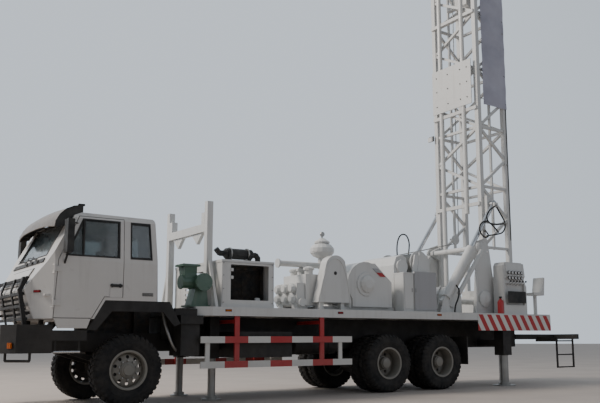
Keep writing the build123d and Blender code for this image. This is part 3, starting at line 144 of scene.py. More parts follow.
def weathered(place, base, dust, low, high, share):
    """A base colour under road dust that is thick near the ground and thins out with height."""
    height = add_node(place.id_data, "ShaderNodeSeparateXYZ", {"Vector": place}).outputs["Z"]
    low_share = spread(height, low, high, share, share * 0.2)
    clouds = spread(noise(place, 0.35), 0.3, 0.75, 0.3, 1.0)
    return mixed(sums("MULTIPLY", low_share, clouds), base, dust)


# Finishes
def machine_enamel(name, code, roughness=0.42, dust_share=0.28):
    """Brushed and sprayed machinery enamel: a soft gloss, thin rain streaks and dust low down."""
    material, shader, place = new_finish(name, IOR=1.5, Coat_Weight=0.25, Coat_Roughness=0.2)
    streaks = add_node(place.id_data, "ShaderNodeMapping",
                       {"Vector": place, "Scale": (9.0, 9.0, 0.8)}).outputs[0]
    grime = mixed(spread(noise(streaks, 1.0, 5.0), 0.52, 0.72, 0.0, 0.16), code, "#8C867C")
    feed(shader, "Base Color", weathered(place, grime, "#A2998C", 0.4, 3.0, dust_share))
    gloss(shader, place, 0.2, roughness - 0.08, roughness + 0.14)
    # orange peel of sprayed paint, drawn at 12 mm because its real 2 mm would not show
    bump(shader, noise(place, 0.012, 2.0), 0.0004)
    return material


def chassis_paint(name, code):
    """Satin black chassis paint, greyed by dry road dust that lies in clouds on it."""
    material, shader, place = new_finish(name, IOR=1.5)
    feed(shader, "Base Color", weathered(place, code, "#6E665C", 0.1, 1.9, 0.34))
    gloss(shader, place, 0.15, 0.5, 0.75)
    bump(shader, noise(place, 0.02, 5.0), 0.0008)
    return material


def guard_paint(name):
    """Red and white safety enamel: equal bands along the guards, slanted stripes on the rear panel."""
    band = (4.250 - 1.162) / 7  # the guard's length over its seven bands
    stripe_pitch = 0.262
    stripe_lean = 0.62
    rear_panel_x = FRONT_AXLE + 6.0
    material, shader, place = new_finish(name, IOR=1.5, Coat_Weight=0.2, Coat_Roughness=0.25)
    axes = add_node(place.id_data, "ShaderNodeSeparateXYZ", {"Vector": place}).outputs
    guard_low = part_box("side_guards")[0]
    bands = sums("DIVIDE", sums("SUBTRACT", axes["X"], guard_low.x), band * 2)
    band_red = sums("GREATER_THAN", sums("FRACT", bands), 0.5)
    slant = sums("ADD", axes["X"], sums("MULTIPLY", axes["Z"], stripe_lean))
    stripe_red = sums("LESS_THAN", sums("FRACT", sums("DIVIDE", slant, stripe_pitch)), 0.5)
    at_rear = sums("GREATER_THAN", axes["X"], rear_panel_x)
    red = add_node(place.id_data, "ShaderNodeMix",
                   {"Factor": at_rear, "A": band_red, "B": stripe_red}).outputs[0]
    paint = mixed(red, "#D9D7D2", "#B3121C")
    feed(shader, "Base Color", weathered(place, paint, "#8E857A", 0.4, 1.8, 0.3))
    gloss(shader, place, 0.1, 0.35, 0.55)
    bump(shader, noise(place, 0.01, 2.0), 0.0003)
    return material


def blotched(name, codes, blotch, gloss_over, grain=None, **values):
    """A finish that wanders between two colours.

    blotch is (size, detail, low, high, most), gloss_over (size, low, high) and grain (size, detail, depth).
    """
    material, shader, place = new_finish(name, **values)
    size, detail, low, high, most = blotch
    feed(shader, "Base Color", mixed(spread(noise(place, size, detail), low, high, 0.0, most), *codes))
    gloss(shader, place, *gloss_over)
    if grain:
        size, detail, depth = grain
        bump(shader, noise(place, size, detail), depth)
    return material


def bare_steel(name, code, roughness):
    """Oiled steel of rods, pins and pads: bright, with a faint smear of oil and dust."""
    return blotched(name, (code, "#8E8B85"), (0.3, 4.0, 0.3, 0.8, 0.5), (0.15, roughness, roughness + 0.12),
                    Metallic=1.0)


def moulded_plastic(name, code, roughness=0.55):
    """Injection moulded plastic with a soft sheen, the mould's spark grain drawn at 4 mm."""
    return blotched(name, (code, "#57534E"), (0.25, 4.0, 0.35, 0.7, 0.45),
                    (0.08, roughness - 0.1, roughness + 0.12), (0.004, 2.0, 0.0003), IOR=1.46)


def cab_glazing(name):
    """Green-grey laminated glass: dark from outside, mirror smooth, with a film of dust."""
    material, shader, place = new_finish(name, IOR=1.52, Transmission_Weight=0.82)
    feed(shader, "Base Color", mixed(spread(noise(place, 0.4), 0.3, 0.8), "#93A0A3", "#C2C6C5"))
    feed(shader, "Roughness", spread(noise(place, 0.12), 0.35, 0.8, 0.03, 0.2))
    return material


def seat_fabric(name):
    """Woven seat cloth, its threads drawn 5 mm wide so that they show."""
    material, shader, place = new_finish(name, IOR=1.5, Sheen_Weight=0.3)
    weave = waves(place, 0.005, {"Distortion": 1.5})
    feed(shader, "Base Color", mixed(weave, "#30343A", "#4A4E54"))
    gloss(shader, place, 0.1, 0.8, 0.95)
    bump(shader, weave, 0.0008)
    return material


def lamp_lens(name, code, rib=None):
    """Ribbed acrylic lens: clear colour, glossy, its ribs 8 mm wide and painted as bands of shade and light:
    by default each rib's band is painted darker as shade, and a given code paints the bands in its colour
    instead.
    """
    material, shader, place = new_finish(name, IOR=1.49, Transmission_Weight=0.3, Roughness=0.12)
    ribs = waves(place, 0.008)
    # the rib bands paint light and shade into the colour: darker painted shade by default, white painted
    # highlights on the clear lens
    feed(shader, "Base Color", mixed(ribs, code, rib or (*[c * 0.6 for c in colour(code)[:3]], 1.0)))
    bump(shader, ribs, 0.001)
    return material


def vinyl_sheet(name):
    """Coated banner cloth gone grey: matt, with the threads of its weave drawn 6 mm wide."""
    material, shader, place = new_finish(name, IOR=1.5)
    weave = waves(place, 0.006, bands_direction="Z")
    cloud = mixed(spread(noise(place, 0.6), 0.3, 0.75), "#C0BFCB", "#A2A1AF")
    feed(shader, "Base Color", mixed(sums("MULTIPLY", weave, 0.12), cloud, "#878692"))
    gloss(shader, place, 0.2, 0.6, 0.8)
    bump(shader, weave, 0.0006)
    return material


WHITE = machine_enamel("white_machine_enamel", "#D4D4D2")
CAB_WHITE = machine_enamel("cab_white_enamel", "#CFCCC8", 0.34, 0.2)
GREY_PANEL = machine_enamel("grey_tank_enamel", "#A7A7AA", 0.45, 0.2)
GREEN = machine_enamel("green_machine_enamel", "#38604F", 0.4, 0.3)
RED = machine_enamel("red_enamel", "#B2141C", 0.35, 0.15)
BLACK = chassis_paint("black_chassis_paint", "#141416")
GUARD = guard_paint("red_and_white_safety_enamel")
RIM = machine_enamel("grey_wheel_enamel", "#77756F", 0.5, 0.5)
# vulcanised rubber: near black, dull, with dry dust in the tread and on the walls
RUBBER = blotched("tyre_rubber", ("#161617", "#37332F"), (0.18, 4.0, 0.35, 0.7, 1.0), (0.05, 0.72, 0.92),
                  (0.006, 3.0, 0.0006), IOR=1.52)
HOSE = moulded_plastic("black_hose_rubber", "#17181A", 0.6)
PLASTIC = moulded_plastic("black_moulded_plastic", "#1B1C1E")
VISOR = moulded_plastic("grey_smoked_visor", "#7C756F", 0.35)
STEEL = bare_steel("oiled_steel", "#A9A8A5", 0.38)
CHROME = bare_steel("chromed_rod_steel", "#D5D6D8", 0.22)
GLASS = cab_glazing("laminated_cab_glass")
CLOTH = seat_fabric("woven_seat_cloth")
# cast iron under old engine paint and grease: dark, uneven, half glossy
IRON = blotched("greasy_engine_iron", ("#1F2224", "#3B322A"), (0.12, 6.0, 0.4, 0.65, 1.0), (0.05, 0.3, 0.75),
                (0.015, 4.0, 0.001), IOR=1.5, Metallic=0.25)
AMBER_LENS = lamp_lens("amber_acrylic_lens", "#E0731A")
RED_LENS = lamp_lens("red_acrylic_lens", "#B0101A")
# the clear lens's ribs are painted as white highlights
CLEAR_LENS = lamp_lens("clear_acrylic_lens", "#E8E8E4", "#FFFFFF")
VINYL = vinyl_sheet("grey_banner_vinyl")


def nodes_named(*starts):
    """The frame's nodes whose names start in one of these ways."""
    return tuple(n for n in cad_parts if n.startswith(starts))


NODE_FINISHES = {
    WHITE: ("deck", "mast_rest", "engine_house", "pump_power_end", "pump_fluid_end", "belt_guard",
            "winch_frame", "winch_drum", "a_frame", "rotary_gearbox", "rotary_table", "control_console",
            "lift_barrels", "mast", "mast_columns", "travelling_block", "side_cabinets"),
    CAB_WHITE: ("cab_shell", "door_left", "door_right"),
    BLACK: ("chassis_frame", "axles_and_springs", "front_bumper", "grille_guard", "mudguards",
            "under_deck_boxes", "jack_housings", "rear_step_ladder", "knuckle_left", "knuckle_right"),
    GUARD: ("side_guards",),
    GREEN: ("air_compressor",),
    IRON: ("truck_engine", "deck_engine"),
    RIM: nodes_named("rim"),
    RUBBER: nodes_named("tyre"),
    PLASTIC: ("dashboard", "mirror_left", "mirror_right", "muffler"),
    VISOR: ("roof_visor",),
    CLOTH: ("cab_seats",),
    CHROME: ("lift_rods",),
    STEEL: nodes_named("jack_front", "jack_rear"),
    GLASS: ("cab_glass", "door_glass_left", "door_glass_right"),
}
for finish, names in NODE_FINISHES.items():
    for node_name in names:
        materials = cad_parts[node_name].data.materials
        materials.clear()
        materials.append(finish)

# The record's slot that each finish of the small pieces belongs to, where a piece names no other
SLOTS = {WHITE: "white_paint", CAB_WHITE: "cab_white", GREY_PANEL: "white_paint", GREEN: "green_paint",
         RED: "guard_paint", BLACK: "black_paint", HOSE: "black_plastic", PLASTIC: "black_plastic",
         STEEL: "steel", CHROME: "steel", IRON: "engine_dark", CLEAR_LENS: "white_paint"}


# Mesh helpers
def bridge(form, rings):
    """Walls between closed rings of points that run side by side."""
    for near, far in zip(rings, rings[1:]):
        for step in range(len(near)):
            after = (step + 1) % len(near)
            form.faces.new((near[step], near[after], far[after], far[step]))


def add_box(form, low, high):
    """A box between two corners."""
    size = high - low
    scale = Matrix.Diagonal((abs(size.x), abs(size.y), abs(size.z), 1))
    bmesh.ops.create_cube(form, size=1, matrix=Matrix.Translation((low + high) / 2) @ scale)


def add_bar(form, start, end, radius, sides):
    """A round bar from one point to another."""
    run = end - start
    place = Matrix.Translation((start + end) / 2) @ run.to_track_quat("Z", "Y").to_matrix().to_4x4()
    bmesh.ops.create_cone(form, cap_ends=True, segments=sides, radius1=radius, radius2=radius,
                          depth=run.length, matrix=place)


def add_turned(form, centre, axis, profile, sides, closed=False):
    """A turned form through (distance along the axis, radius) points."""
    turn = Vector(axis).to_track_quat("Z", "Y").to_matrix()
    angles = [2 * pi * step / sides for step in range(sides)]
    rings = [[form.verts.new(centre + turn @ Vector((radius * cos(a), radius * sin(a), distance)))
              for a in angles] for distance, radius in profile]
    if closed:
        bridge(form, rings + rings[:1])
    else:
        bridge(form, rings)
        form.faces.new(rings[0][::-1])
        form.faces.new(rings[-1])


def add_plate(form, outline, push):
    """A flat plate: a closed outline of points, carried along a vector."""
    near, far = ([form.verts.new(p + shift) for p in outline] for shift in (Vector(), Vector(push)))
    form.faces.new(near)
    form.faces.new(far[::-1])
    bridge(form, [far, near])


def mirrored(half):
    """A half profile of (distance, radius) points followed by its mirror image."""
    return [*half, *[(-distance, radius) for distance, radius in half[::-1]]]


def keep(name, mesh, body):
    """Keeps a mesh as a finished piece that rides on a body, or on none where no body is given."""
    piece = bpy.data.objects.new(name, mesh)
    bpy.context.scene.collection.objects.link(piece)
    if body:
        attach(piece, body)
    return piece


def mesh_of(form, name):
    """The plain mesh of a bmesh, which is used up."""
    mesh = bpy.data.meshes.new(name)
    form.to_mesh(mesh)
    form.free()
    return mesh


def settle(name, form, body, finish, bevel=0.0, smooth_over=40):
    """Turns a bmesh into a finished piece, its edges broken by a small bevel."""
    # faces are turned outward before the bevel, because after it the thinnest boxes come out inside out
    bmesh.ops.recalc_face_normals(form, faces=form.faces)
    if bevel:
        sharp = [e for e in form.edges if len(e.link_faces) == 2 and e.calc_face_angle(0) > radians(35)]
        bmesh.ops.bevel(form, geom=sharp, offset=bevel, segments=2, affect="EDGES", clamp_overlap=True)
    mesh = mesh_of(form, name)
    mesh.materials.append(finish)
    mesh.shade_smooth()
    mesh.set_sharp_from_angle(angle=radians(smooth_over))
    return keep(name, mesh, body)


# Geometry Nodes trees
def new_tree(name, **sockets):
    """A tree with a geometry in and out, the named inputs and a material."""
    tree = bpy.data.node_groups.new(name, "GeometryNodeTree")
    for label, kind in {"Geometry": "Geometry", **sockets, "Material": "Material"}.items():
        tree.interface.new_socket(label, in_out="INPUT", socket_type=f"NodeSocket{kind}")
    tree.interface.new_socket("Geometry", in_out="OUTPUT", socket_type="NodeSocketGeometry")
    return tree, tree.nodes.new("NodeGroupInput").outputs


def end_tree(tree, entry, geometry):
    """Realises the instances, gives them their material and ends the tree."""
    real = add_node(tree, "GeometryNodeRealizeInstances", {"Geometry": geometry}).outputs[0]
    done = add_node(tree, "GeometryNodeSetMaterial", {"Geometry": real, "Material": entry["Material"]})
    tree.links.new(done.outputs[0], tree.nodes.new("NodeGroupOutput").inputs["Geometry"])
    return tree


def ring_tree():
    """Repeats the piece in equal steps round a wheel's axle."""
    tree, entry = new_tree("ring_round_axle", Count="Int", Centre="Vector")
    points = add_node(tree, "GeometryNodeMeshLine", {"Count": entry["Count"], "Offset": (0.0, 0.0, 0.0)})
    index = add_node(tree, "GeometryNodeInputIndex").outputs[0]
    angle = sums("MULTIPLY", sums("DIVIDE", index, entry["Count"]), 2 * pi)
    rotation = add_node(tree, "ShaderNodeCombineXYZ", {"Y": angle}).outputs[0]
    copies = add_node(tree, "GeometryNodeInstanceOnPoints",
                      {"Points": points.outputs[0], "Instance": entry["Geometry"], "Rotation": rotation})
    placed = add_node(tree, "GeometryNodeTransform",
                      {"Geometry": copies.outputs[0], "Translation": entry["Centre"]})
    return end_tree(tree, entry, placed.outputs[0])


def bolt_tree():
    """Puts a hexagon head on each point, turned to the point's facing."""
    tree, entry = new_tree("bolt_heads", Radius="Float", Height="Float")
    head = add_node(tree, "GeometryNodeMeshCylinder",
                    {"Vertices": 6, "Radius": entry["Radius"], "Depth": entry["Height"]})
    facing = add_node(tree, "GeometryNodeInputNamedAttribute", {"Name": "facing"}, data_type="FLOAT_VECTOR")
    turn = add_node(tree, "FunctionNodeAlignRotationToVector", {"Vector": facing.outputs["Attribute"]},
                    axis="Z")
    copies = add_node(tree, "GeometryNodeInstanceOnPoints", {
        "Points": entry["Geometry"], "Instance": head.outputs["Mesh"], "Rotation": turn.outputs[0]})
    return end_tree(tree, entry, copies.outputs[0])


def tube_tree():
    """Carries a round section along the curve."""
    tree, entry = new_tree("round_section_on_curve", Radius="Float", Sides="Int")
    section = add_node(tree, "GeometryNodeCurvePrimitiveCircle",
                       {"Resolution": entry["Sides"], "Radius": entry["Radius"]}, mode="RADIUS")
    skin = add_node(tree, "GeometryNodeCurveToMesh",
                    {"Curve": entry["Geometry"], "Profile Curve": section.outputs[0], "Fill Caps": True})
    smooth = add_node(tree, "GeometryNodeSetShadeSmooth", {"Geometry": skin.outputs[0]})
    return end_tree(tree, entry, smooth.outputs[0])


RING, BOLTS, TUBE = ring_tree(), bolt_tree(), tube_tree()


def evaluated_mesh(source):
    """The plain mesh of an object in the scene, its modifiers applied."""
    graph = bpy.context.evaluated_depsgraph_get()
    return bpy.data.meshes.new_from_object(source.evaluated_get(graph), depsgraph=graph)


def grow(name, tree, base, body, slot=None, **values):
    """Runs a tree on a base object and keeps the plain mesh that comes out."""
    maker = base.modifiers.new("maker", "NODES")
    maker.node_group = tree
    for item in tree.interface.items_tree:
        if item.in_out == "INPUT" and item.name in values:
            maker[item.identifier] = values[item.name]
    bpy.context.scene.collection.objects.link(base)
    mesh = evaluated_mesh(base)
    bpy.data.objects.remove(base)
    return keep(name, mesh, body)


def loose(form):
    """A bare object of a bmesh, its faces turned outward, for a tree to work on."""
    bmesh.ops.recalc_face_normals(form, faces=form.faces)
    return bpy.data.objects.new("base", mesh_of(form, "base"))


def line(points, closed=False, smooth=True):
    """A curve object through or near the points."""
    data = bpy.data.curves.new("line", "CURVE")
    data.dimensions = "3D"
    data.resolution_u = 8
    spline = data.splines.new("NURBS" if smooth else "POLY")
    spline.points.add(len(points) - 1)
    for point, spot in zip(spline.points, points):
        point.co = (*spot, 1.0)
    if smooth:
        spline.order_u = 3
        spline.use_endpoint_u = not closed
    spline.use_cyclic_u = closed
    return bpy.data.objects.new("line", data)


# Wheels: casings, tread lugs, rolled rims, pressed discs with hand holes, hubs and nuts
CASING = mirrored(((-0.105, 0.287), (-0.128, 0.300), (-0.150, 0.375), (-0.153, 0.425), (-0.146, 0.480),
                   (-0.135, 0.515), (-0.118, 0.533), (-0.03, 0.538)))
# raised rings on a tyre's walls: their inner radius, how far out the wall is there, and their height
WALL_RINGS = ((0.404, 0.1525, 0.003), (0.330, 0.138, 0.004))
LUG_COUNT = 36
LUG_HALF_WIDE = 0.030
# across the tyre, and the drop from its full radius
LUG_SECTION = ((0.012, 0.001), (0.118, 0.004), (0.148, 0.040), (0.150, 0.085), (0.135, 0.080),
               (0.110, 0.030), (0.012, 0.030))
RIM_SECTION = mirrored(((0.126, 0.2865), (0.131, 0.303), (0.137, 0.305), (0.139, 0.298), (0.133, 0.272),
                        (0.100, 0.262)))
HAND_HOLES = 10
NUTS = 10
NUT_RING = 0.146
DISC_THICK = 0.012
# disc (radius, distance out) from the rim inward, ring and radius of its holes, hub (distance, radius)
# and the nuts' seat
FRONT_WHEEL = (
    ((0.263, 0.024), (0.252, 0.050), (0.236, 0.060), (0.190, 0.074), (0.165, 0.083), (0.128, 0.088)),
    0.203, 0.027,
    ((0.070, 0.128), (0.104, 0.122), (0.108, 0.108), (0.126, 0.104), (0.132, 0.088), (0.150, 0.080),
     (0.152, 0.004)),
    0.086)
REAR_WHEEL = (
    ((0.263, -0.110), (0.252, -0.134), (0.236, -0.146), (0.200, -0.152), (0.165, -0.153), (0.120, -0.153)),
    0.205, 0.030,
    ((-0.160, 0.140), (-0.060, 0.132), (-0.056, 0.118), (0.022, 0.112), (0.030, 0.098), (0.050, 0.094),
     (0.058, 0.070), (0.060, 0.004)),
    -0.155)


def add_casing(form, centre, out):
    """One tyre casing: beads, bulged walls and shoulders, with two raised rings on each wall."""
    add_turned(form, centre, (0, out, 0), CASING, 96, closed=True)
    for edge, wall, height in WALL_RINGS:
        for side in (-1, 1):
            face = side * wall
            crest = face + side * height
            ring = [(face, edge), (crest, edge + 0.004), (crest, edge + 0.010), (face, edge + 0.014)]
            add_turned(form, centre, (0, out, 0), ring, 96, closed=True)


def tread_lugs():
    """A pair of lugs at the top of the wheel, wrapped over the shoulders half a pitch apart."""
    form = bmesh.new()
    for side, shift in ((-1, 0.0), (1, pi / LUG_COUNT)):
        near, far = [], []
        for across, drop in LUG_SECTION:
            skew = 0.035 * (across - 0.012) / 0.14
            height = TYRE_RADIUS - drop
            for ring, offset in ((near, -LUG_HALF_WIDE), (far, LUG_HALF_WIDE)):
                angle = shift + (skew + offset) / TYRE_RADIUS
                ring.append(form.verts.new((height * sin(angle), side * across, height * cos(angle))))
        form.faces.new(near)
        form.faces.new(far[::-1])
        bridge(form, [far, near])
    return form


def disc_height(shape, radius):
    """The distance out of a dished disc at a radius."""
    for (r0, d0), (r1, d1) in zip(shape, shape[1:]):
        if r1 <= radius <= r0:
            return d0 + (d1 - d0) * (r0 - radius) / (r0 - r1)
    return shape[0][1] if radius > shape[0][0] else shape[-1][1]


def add_holed_disc(form, centre, out, shape, ring, hole):
    """A dished disc with round holes through it; shape is (radius, distance out) from the rim inward."""
    r_out, r_in = shape[0][0], shape[-1][0]
    steps = 16
    sector = 2 * pi / HAND_HOLES

    def spots(points, middle, drop):
        """The points of one outline, given by radius and angle from the hole's middle."""
        return [form.verts.new(centre + Vector((r * sin(middle + a), out * (disc_height(shape, r) - drop),
                                                r * cos(middle + a)))) for r, a in points]

    for number in range(HAND_HOLES):
        outlines = []
        for share in (0.0, 0.45, 1.0):
            points = []
            for step in range(steps):
                phi = 2 * pi * step / steps
                reach = max(abs(cos(phi)), abs(sin(phi)))
                edge_r = (r_out + r_in) / 2 + cos(phi) / reach * (r_out - r_in) / 2
                edge_a = sin(phi) / reach * sector / 2
                hole_x = ring + hole * cos(phi)
                hole_r = (hole_x ** 2 + (hole * sin(phi)) ** 2) ** 0.5
                hole_a = atan(hole * sin(phi) / hole_x)
                points.append((hole_r + (edge_r - hole_r) * share, hole_a + (edge_a - hole_a) * share))
            outlines.append(points)
        fronts, backs = ([spots(points, number * sector, drop) for points in outlines]
                         for drop in (0.0, DISC_THICK))
        bridge(form, fronts)
        bridge(form, backs)
        bridge(form, [fronts[0], backs[0]])
    bmesh.ops.remove_doubles(form, verts=form.verts, dist=0.0002)


def dress_wheel(name, tail, body, tyre_node, rim_node, out, centres, shapes):
    """Tyres and wheels that stand for the plain ones; the centres go from the outer tyre inward."""
    disc, ring, hole, hub, nut_seat = shapes
    form = bmesh.new()
    across = sorted(centres, key=lambda centre: centre.y)
    for centre in across:
        add_casing(form, centre, out)
    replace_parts(settle(f"{name}_casing", form, body, RUBBER, smooth_over=30), tyre_node)
    for number, centre in enumerate(across):
        grow(f"{name}_tread_{number}", RING, loose(tread_lugs()), body, "tyre", Count=LUG_COUNT,
             Centre=tuple(centre), Material=RUBBER)
    form = bmesh.new()
    for centre in centres:
        add_turned(form, centre, (0, out, 0), RIM_SECTION, 72, closed=True)
    for centre, facing in zip(centres, (out, -out)):
        add_holed_disc(form, centre, facing, disc, ring, hole)
    add_turned(form, centres[0], (0, out, 0), hub, 40)
    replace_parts(settle(f"{name}_{tail}", form, body, RIM), rim_node)
    form = bmesh.new()
    base = Vector((0, out * nut_seat, NUT_RING))
    for length, radius, sides in ((0.024, 0.017, 6), (0.036, 0.009, 10)):
        add_bar(form, base, base + Vector((0, out * length, 0)), radius, sides)
    grow(f"{name}_nuts", RING, loose(form), body, "steel", Count=NUTS, Centre=tuple(centres[0]),
         Material=STEEL)


for side, out in SIDES:
    low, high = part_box(f"tyre_front_{side}")
    dress_wheel(f"front_{side}", "wheel", f"wheel_front_{side}", f"tyre_front_{side}", f"rim_front_{side}",
                out, [(low + high) / 2], FRONT_WHEEL)
    for row in (1, 2):
        low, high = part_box(f"tyres_rear_{row}_{side}")
        middles = (low.y + TYRE_HALF, high.y - TYRE_HALF)
        twins = [Vector(((low.x + high.x) / 2, y, TYRE_RADIUS)) for y in middles]
        dress_wheel(f"rear_{row}_{side}", "wheels", f"wheels_rear_{row}_{side}", f"tyres_rear_{row}_{side}",
                    f"rims_rear_{row}_{side}", out, twins if out < 0 else twins[::-1], REAR_WHEEL)


# Sets of small pieces, their points given behind the front axle
def put(name, form, finish, body, bevel=0.0):
    """Settles a set with its finish, its edges broken by the bevel given."""
    return settle(name, form, body, finish, bevel)


def box_set(name, finish, pairs, bevel=0.004, body="carrier"):
    """Small flat-sided pieces given by two corners."""
    form = bmesh.new()
    for low, high in pairs:
        add_box(form, at(*low), at(*high))
    return put(name, form, finish, body, bevel)


def bar_set(name, finish, runs, sides=14, body="carrier"):
    """Round bars given by (start, end, radius)."""
    form = bmesh.new()
    for start, end, radius in runs:
        add_bar(form, at(*start), at(*end), radius, sides)
    return put(name, form, finish, body)


def turned_set(name, finish, turnings, sides=40, closed=False, body="carrier"):
    """Turned pieces given by (centre, axis, profile)."""
    form = bmesh.new()
    for centre, axis, profile in turnings:
        add_turned(form, at(*centre), axis, profile, sides, closed)
    return put(name, form, finish, body)


def plate_set(name, finish, plates, bevel=0.0, body="carrier"):
    """Flat plates given by (outline, push)."""
    form = bmesh.new()
    for outline, push in plates:
        add_plate(form, [at(*p) for p in outline], push)
    return put(name, form, finish, body, bevel)


def bolts(name, places, finish, radius=0.014, height=0.02, body="carrier", slot=None):
    """Hexagon heads at (point, facing) places."""
    mesh = bpy.data.meshes.new("bolt_points")
    mesh.from_pydata([tuple(p) for p, facing in places], [], [])
    facing = mesh.attributes.new("facing", "FLOAT_VECTOR", "POINT")
    facing.data.foreach_set("vector", [c for p, n in places for c in Vector(n).normalized()])
    base = bpy.data.objects.new("bolt_points", mesh)
    return grow(name, BOLTS, base, body, slot or SLOTS[finish], Radius=radius, Height=height,
                Material=finish)


def ring_places(x, y, z, reach, count, facing):
    """Places of bolts round a circle that faces sideways."""
    angles = [2 * pi * number / count for number in range(count)]
    return [(at(x + reach * cos(angle), y, z + reach * sin(angle)), facing) for angle in angles]


def pipe(name, points, radius, finish, body="carrier", slot=None, closed=False, smooth=True, sides=12):
    """A pipe, seal or hose of a round section along a curve."""
    return grow(name, TUBE, line(points, closed, smooth), body, slot or SLOTS[finish], Radius=radius,
                Sides=sides, Material=finish)


def lamp(name, body, place, facing, wide, high, deep, lens):
    """A lamp: a black housing with a crowned lens standing out of it."""
    front = Vector(facing).normalized()
    up = Vector((0, 0, 1))
    turn = Matrix((front.cross(up), front, up)).transposed().to_4x4()
    for part, grow_by, reach, finish in (("housing", 1.14, 0.45, PLASTIC), ("lens", 1.0, 1.0, lens)):
        form = bmesh.new()
        size = Matrix.Diagonal((wide * grow_by, deep * reach, high * grow_by, 1))
        shift = Matrix.Translation((0, deep * reach / 2, 0))
        bmesh.ops.create_cube(form, size=1, matrix=Matrix.Translation(at(*place)) @ turn @ shift @ size)
        settle(f"{name}_{part}", form, body, finish, bevel=min(deep * 0.4, 0.008))


# Cab: its surfaces at a height
def side_y(z):
    """How far out the side of the cab stands at a height."""
    return 1.235 if z < 2.2 else 1.235 - (z - 2.2) * 0.0833


def screen_x(z):
    """Where the windscreen's plane is at a height."""
    return -1.300 + (z - 2.17) * 0.5068


def nose_x(z):
    """Where the front panel is at a height."""
    return -1.42 - (z - 1.33) * 0.3256 if z < 1.76 else -1.56 + (z - 1.76) * 0.634


def rear_x(z):
    """Where the rear wall is at a height."""
    return 0.42 - (z - 1.65) * 0.06


DOOR_WINDOW = ((-1.06, 2.27), (-0.81, 2.84), (-0.24, 2.84), (-0.24, 2.27))
QUARTER_WINDOW = ((-0.06, 2.27), (-0.06, 2.84), (0.255, 2.84), (0.29, 2.27))
SCREEN = ((-0.86, 2.29), (0.86, 2.29), (0.80, 2.84), (-0.80, 2.84))
REAR_WINDOW = ((-0.5, 2.27), (0.5, 2.27), (0.5, 2.70), (-0.5, 2.70))


def seal(name, body, points, inward, width=0.03):
    """A flat rubber seal round a window, its inner edge over the glass."""
    proud = 0.006
    points = [Vector(p) for p in points]
    centre = sum(points, Vector()) / len(points)
    outer = [p + (p - centre).normalized() * width * 0.35 for p in points]
    inner = [p + (centre - p).normalized() * width for p in points]
    normal = (outer[1] - outer[0]).cross(outer[2] - outer[1]).normalized()
    if normal.dot(Vector(inward)) > 0:
        normal = -normal
    form = bmesh.new()
    bridge(form, [[form.verts.new(at(*(p + normal * lift))) for p in ring]
                  for ring, lift in ((outer, -0.002), (outer, proud * 0.6), (outer, proud), (inner, proud),
                                     (inner, -0.024))])
    bmesh.ops.remove_doubles(form, verts=form.verts, dist=0.0001)
    return settle(name, form, body, HOSE, smooth_over=30)


for side, out in SIDES:
    for name, body, window in (("door", f"door_{side}", DOOR_WINDOW),
                               ("quarter", "carrier", QUARTER_WINDOW)):
        edge = [(x, out * side_y(z), z) for x, z in window]
        seal(f"{name}_window_seal_{side}", body, edge, (0, -out, 0))
    box_set(f"window_divider_{side}", HOSE, [((-0.815, out * 1.176, 2.275),
            (-0.785, out * 1.222, 2.835))], 0.005, body=f"door_{side}")
seal("windscreen_seal", "carrier", [(screen_x(z), y, z) for y, z in SCREEN], (1, 0, 0), 0.034)
seal("rear_window_seal", "carrier", [(rear_x(z), y, z) for y, z in REAR_WINDOW], (-1, 0, 0))

# Cowl, wipers and the hatch in the front panel
plate_set("cowl_grille", PLASTIC, [([(screen_x(2.18) - 0.006, -0.93, 2.18),
        (screen_x(2.18) - 0.006, 0.93, 2.18), (screen_x(2.245) - 0.006, 0.90, 2.245),
        (screen_x(2.245) - 0.006, -0.90, 2.245)], (-0.008, 0, 0.004))])
wiper_runs = []
for pivot, tip in ((-0.62, -0.10), (0.02, 0.52), (-0.30, 0.20)):
    wiper_runs.append(((screen_x(2.20) - 0.03, pivot, 2.20), (screen_x(2.33) - 0.03, tip, 2.33), 0.009))
    wiper_runs.append(((screen_x(2.27) - 0.022, tip - 0.34, 2.27),
            (screen_x(2.34) - 0.022, tip + 0.30, 2.34), 0.007))
bar_set("wiper_arms_and_blades", PLASTIC, wiper_runs, 8)
turned_set("wiper_pivots", PLASTIC, [((screen_x(2.20) - 0.004, y, 2.20), (-0.89, 0, 0.45),
        ((0, 0.024), (0.03, 0.02), (0.034, 0.012))) for y in (-0.62, 0.02, -0.30)], 20)
HATCH_HALF = 0.66
plate_set("front_hatch", CAB_WHITE, [([(nose_x(1.84) - 0.001, -HATCH_HALF, 1.84),
        (nose_x(1.84) - 0.001, HATCH_HALF, 1.84), (nose_x(2.09) - 0.001, HATCH_HALF - 0.04, 2.09),
        (nose_x(2.09) - 0.001, -HATCH_HALF + 0.04, 2.09)], (-0.014, 0, 0.009))], 0.005)
hatch_edge = [at(nose_x(z) - 0.004, y, z) for y, z in ((-HATCH_HALF - 0.014, 1.828),
        (HATCH_HALF + 0.014, 1.828), (HATCH_HALF - 0.026, 2.102), (-HATCH_HALF + 0.026, 2.102))]
pipe("hatch_gap_seal", hatch_edge + hatch_edge[:1], 0.006, HOSE, smooth=False, sides=8)
# a black plate behind the grille's slots: painted shade in the openings
plate_set("grille_slots_painted_shade", PLASTIC, [([(nose_x(1.36) + 0.046, -0.80, 1.36),
        (nose_x(1.36) + 0.046, 0.80, 1.36), (nose_x(1.75) + 0.046, 0.80, 1.75),
        (nose_x(1.75) + 0.046, -0.80, 1.75)], (0.01, 0, 0))])
slat_runs = [((nose_x(z) - 0.002, -0.765, z), (nose_x(z) - 0.002, 0.765, z), 0.007)
        for z in (1.386, 1.436, 1.461, 1.511, 1.536, 1.586, 1.611, 1.661, 1.686, 1.736)]
bar_set("grille_slot_lips", CAB_WHITE, slat_runs, 8)

